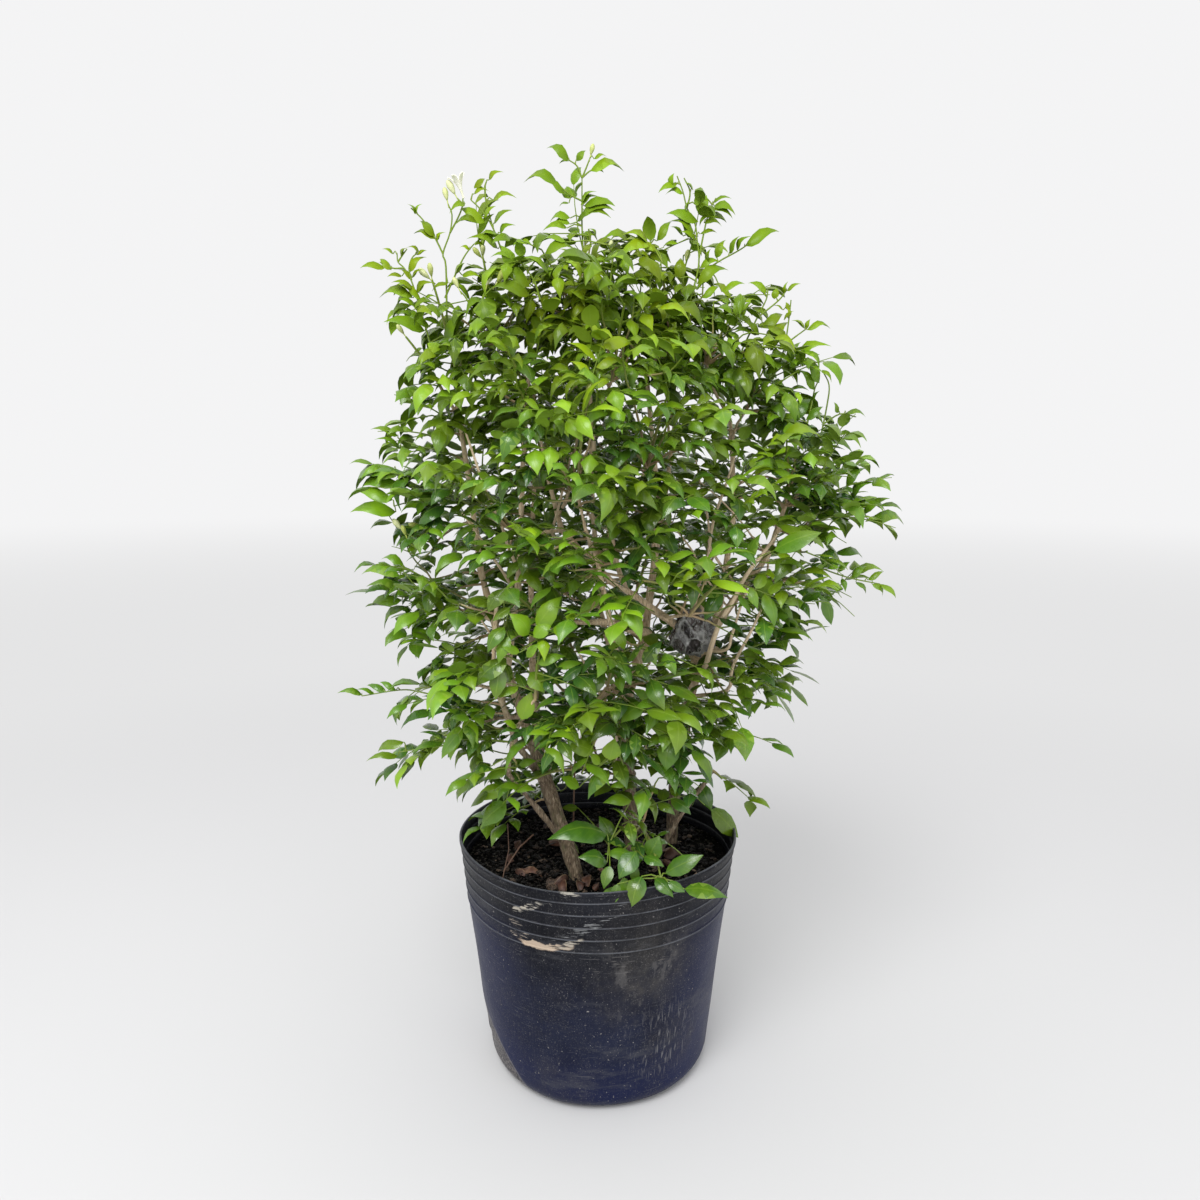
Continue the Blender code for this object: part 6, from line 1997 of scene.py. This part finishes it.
def makeWrapMaterial():
    made, tree, shader = newMaterial("old plastic film", 0.3)
    tone, crease = attribute(tree, "tone"), attribute(tree, "crease")
    clouds = noiseOf(tree, objectPlace(tree), 130, 5, 0.65)
    streaks = noiseOf(tree, objectPlace(tree, (1, 0.6, 0.4), (0, 0, 0), (0.3, 0.7, 0.6)), 120, 3, 0.55)
    tone = plus(tree, tone, ranged(tree, clouds, 0.3, 0.7, -0.15, 0.15))
    colour = ramp(tree, tone, [(0.15, (0.018, 0.015, 0.016)), (0.45, (0.06, 0.04, 0.037)),
                               (0.65, (0.12, 0.112, 0.114)), (1.0, (0.23, 0.226, 0.234))])
    glints = times(tree, ranged(tree, crease, 0.06, 0.0), ranged(tree, clouds, 0.38, 0.52, 0.3, 1.0))
    lines = calc(tree, "ABSOLUTE", calc(tree, "SUBTRACT", streaks, 0.5))
    glints = calc(tree, "MAXIMUM", glints, ranged(tree, lines, 0.0, 0.03, 0.75, 0.0))
    colour = mixed(tree, glints, colour, (0.43, 0.424, 0.424))
    tree.links.new(colour, shader.inputs["Base Color"])
    bump(tree, shader, streaks, 0.7, 0.0025)
    return made


rule = wrapRule
shell = bmesh.new()
bmesh.ops.create_icosphere(shell, subdivisions=rule["detail"], radius=1.0)
rng = random.Random(rule["seed"])
noise.seed_set(rule["seed"])
facets = [(Vector(rng.gauss(0, 1) for _ in range(3)).normalized(), rng.uniform(0.78, 1.0), rng.random())
          for _ in range(rule["facets"])]
tones, creases = [], []
for vertex in shell.verts:
    ray = vertex.co.normalized()
    bent = ray + noise.noise_vector(ray * rule["bendScale"]) * rule["bend"]
    reaches = sorted((reach / max(0.05, bent.dot(way)), tone) for way, reach, tone in facets)
    (nearest, tone), (following, _) = reaches[:2]
    nearest = min(nearest, rule["mostReach"])
    tones.append(tone)
    creases.append(following - nearest)
    folds = sum(share * noise.noise(ray * scale + Vector(shift)) for scale, share, shift in rule["folds"])
    pleats = sum(share * (0.35 - abs(noise.noise(ray * scale + up * 5))) for scale, share in rule["pleats"])
    stretch = nearest + rule["crumple"] * folds + pleats
    vertex.co = Vector(rule["centre"]) + Vector(r * s for r, s in zip(ray, rule["size"])) * stretch
wrap = newObject("woundWrap", meshOf("woundWrap", shell))
storeValues(wrap.data, "tone", tones)
storeValues(wrap.data, "crease", creases)
wrap.data.materials.append(makeWrapMaterial())
wrap.data.shade_smooth()
finishPiece(wrap, "wrap_plastic", "wound_wrap")

# On the soil: bark chips and crumbs, fallen leaves, dead twigs
print("litter")
litterRule = {
    "seed": 33,
    "crumbs": 3200,
    "crumbSize": (0.0026, 0.009),
    "chips": 170,
    "chipSize": (0.0035, 0.011),
    "leaves": 12,
    "leafSize": (0.018, 0.03),
    "radius": 0.153,
    "leafRadius": 0.118,
    "leafLift": 0.003,
    # The larger lumps that show at the front: place on the soil, size and tone
    "lumps": (
        (-0.052, -0.084, 0.024, 0.72), (-0.04, -0.098, 0.014, 0.66), (-0.016, -0.098, 0.012, 0.85),
        (0.078, -0.03, 0.014, 0.8), (0.093, -0.08, 0.012, 0.78), (0.105, -0.074, 0.01, 0.9),
        (-0.07, -0.06, 0.011, 0.6), (-0.095, -0.05, 0.01, 0.75), (0.07, 0.01, 0.012, 0.7),
    ),
    # Curled dead leaves at the foot of the trunk and at the right: place, size, turn in degrees and tone
    "curled": (
        (-0.052, -0.088, 0.034, 40, 0.2), (-0.036, -0.1, 0.028, 110, 0.3), (-0.022, -0.106, 0.026, 75, 0.1),
        (-0.01, -0.094, 0.03, 95, 0.35), (-0.004, -0.104, 0.02, 60, 0.25), (0.082, -0.02, 0.03, 20, 0.15),
        (0.092, -0.034, 0.022, 150, 0.3), (0.108, -0.082, 0.028, 10, 0.4), (-0.104, -0.03, 0.022, 120, 0.3),
    ),
    # Dead twigs: the places that each runs through, and its radius
    "twigs": (
        (((-0.078, -0.04, 0.3), (-0.094, -0.055, 0.29), (-0.112, -0.07, 0.266)), 0.001),
        (((-0.112, -0.078, 0.262), (-0.106, -0.062, 0.29), (-0.108, -0.05, 0.318)), 0.0006),
        (((0.02, -0.11, 0.262), (0.05, -0.118, 0.266), (0.075, -0.108, 0.262)), 0.001),
        (((-0.032, -0.02, 0.256), (-0.03, -0.018, 0.3), (-0.029, -0.016, 0.35), (-0.027, -0.012, 0.395)),
         0.0011),
    ),
}
chipKinds = bpy.data.collections.new("chipKinds")
for index in range(8):
    lump = bmesh.new()
    bmesh.ops.create_icosphere(lump, subdivisions=2 if index < 4 else 1, radius=1.0)
    for vertex in lump.verts:
        ray = vertex.co.normalized()
        rough = 1 + 0.7 * noise.noise(ray * 1.5 + Vector((index * 7, 0, 0)))
        vertex.co = Vector((ray.x, ray.y * 0.62, ray.z * 0.36)) * rough * 0.5
    chipKinds.objects.link(bpy.data.objects.new(f"chip{index}", meshOf(f"chip{index}", lump)))


def makeChipMaterial():
    made, tree, shader = newMaterial("bark chips", 0.5)
    shader.inputs["Specular IOR Level"].default_value = 0.16
    tone = attribute(tree, "young")
    grain = noiseOf(tree, objectPlace(tree), 500, 4, 0.6)
    colour = ramp(tree, tone, [(0.0, (0.003, 0.0028, 0.0028)), (0.35, (0.024, 0.021, 0.019)),
                               (0.7, (0.105, 0.074, 0.056)), (1.0, (0.34, 0.25, 0.18))])
    colour = mixed(tree, ranged(tree, grain, 0.4, 0.6, 0.75, 0.0), colour, (0.002, 0.0018, 0.0017))
    tree.links.new(colour, shader.inputs["Base Color"])
    bump(tree, shader, grain, 0.6, 0.0012)
    return made


def makeDryLeafMaterial():
    made, tree, shader = newMaterial("fallen leaf", 0.6)
    tone, along, across = (attribute(tree, name) for name in ("young", "along", "across"))
    cloud = noiseOf(tree, objectPlace(tree), 150, 4, 0.6)
    tone = plus(tree, tone, ranged(tree, cloud, 0.3, 0.7, -0.12, 0.12))
    colour = ramp(tree, tone, [(0.0, (0.024, 0.01, 0.007)), (0.35, (0.1, 0.042, 0.026)),
                               (0.6, (0.28, 0.16, 0.1)), (0.75, (0.17, 0.2, 0.05)),
                               (1.0, (0.08, 0.15, 0.025))])
    rib = ranged(tree, calc(tree, "ABSOLUTE", across), 0.12, 0.03)
    colour = mixed(tree, times(tree, rib, 0.4), colour, (0.36, 0.27, 0.15))
    wood = mixed(tree, cloud, (0.085, 0.042, 0.026), (0.22, 0.13, 0.085))
    colour = mixed(tree, attribute(tree, "blade"), wood, colour)
    tree.links.new(colour, shader.inputs["Base Color"])
    bump(tree, shader, cloud, 0.4, 0.0015)
    return made


def scattered(rng, count, sizes, kinds, tones, flatness, radius):
    found = []
    while len(found) < count:
        reachOut = radius * math.sqrt(rng.random())
        turn = rng.uniform(0, math.tau)
        x, y = reachOut * math.cos(turn), reachOut * math.sin(turn)
        size = sizes[0] + (sizes[1] - sizes[0]) * rng.random() ** 2
        tilt = Vector((rng.gauss(0, flatness), rng.gauss(0, flatness), 1))
        heading = Vector((rng.uniform(-1, 1), rng.uniform(-1, 1), 0.05))
        found.append({
            "place": Vector((x, y, soilTop(x, y) + size * 0.12)),
            "turn": turnOf(heading, tilt).to_quaternion(),
            "size": (size, size * rng.uniform(0.7, 1.2), size * rng.uniform(0.8, 1.4)),
            "kind": rng.randrange(*kinds),
            "young": rng.uniform(*tones),
            "shade": rng.random(),
        })
    return found


rule = litterRule
rng = random.Random(rule["seed"])
crumbs = scattered(rng, rule["crumbs"], rule["crumbSize"], (4, 8), (0.0, 0.5), 0.9, rule["radius"])
for crumb in crumbs:
    # A few crumbs are made pale: partly pale bits of the mix, partly painted glints
    crumb["young"] = 0.7 * crumb["young"] + 0.6 * crumb["shade"] ** 5
crumbs += scattered(rng, rule["chips"], rule["chipSize"], (0, 4), (0.1, 0.85), 0.5, rule["radius"])
for x, y, size, tone in rule["lumps"]:
    heading = Vector((rng.uniform(-1, 1), rng.uniform(-1, 1), 0.2))
    crumbs.append({
        "place": Vector((x, y, soilTop(x, y) + size * 0.18)),
        "turn": turnOf(heading, up + stray(rng, 0.4)).to_quaternion(),
        "size": (size, size, size * 1.2),
        "kind": rng.randrange(4),
        "young": tone,
        "shade": rng.random(),
    })
chips = grown("barkChips", {"blades": crumbs, "stalks": []}, makeChipMaterial(), chipKinds)
finishPiece(chips, "soil")
fallen = scattered(rng, rule["leaves"], rule["leafSize"], (2, 7), (0.0, 0.55), 0.6, rule["leafRadius"])
fallen += scattered(rng, 3, rule["leafSize"], (1, 4), (0.8, 1.0), 0.5, rule["leafRadius"])
for x, y, size, turn, tone in rule["curled"]:
    heading = Vector((math.cos(math.radians(turn)), math.sin(math.radians(turn)), 0.35))
    fallen.append({
        "place": Vector((x, y, soilTop(x, y) + 0.002)),
        "turn": turnOf(heading, up + stray(rng, 0.7)).to_quaternion(),
        "size": (size * 0.8, size * 0.7, size * 1.6),
        "kind": 4 + rng.randrange(3),
        "young": tone,
        "shade": rng.random(),
    })
for blade in fallen:
    blade["place"].z += rule["leafLift"]
twigs = [[(Vector(p), thick, 1.0) for p in path] for path, thick in rule["twigs"]]
dryPieces = grown("fallenLeaves", {"blades": fallen, "stalks": twigs}, makeDryLeafMaterial(), leafletKinds)
finishPiece(dryPieces, "soil")
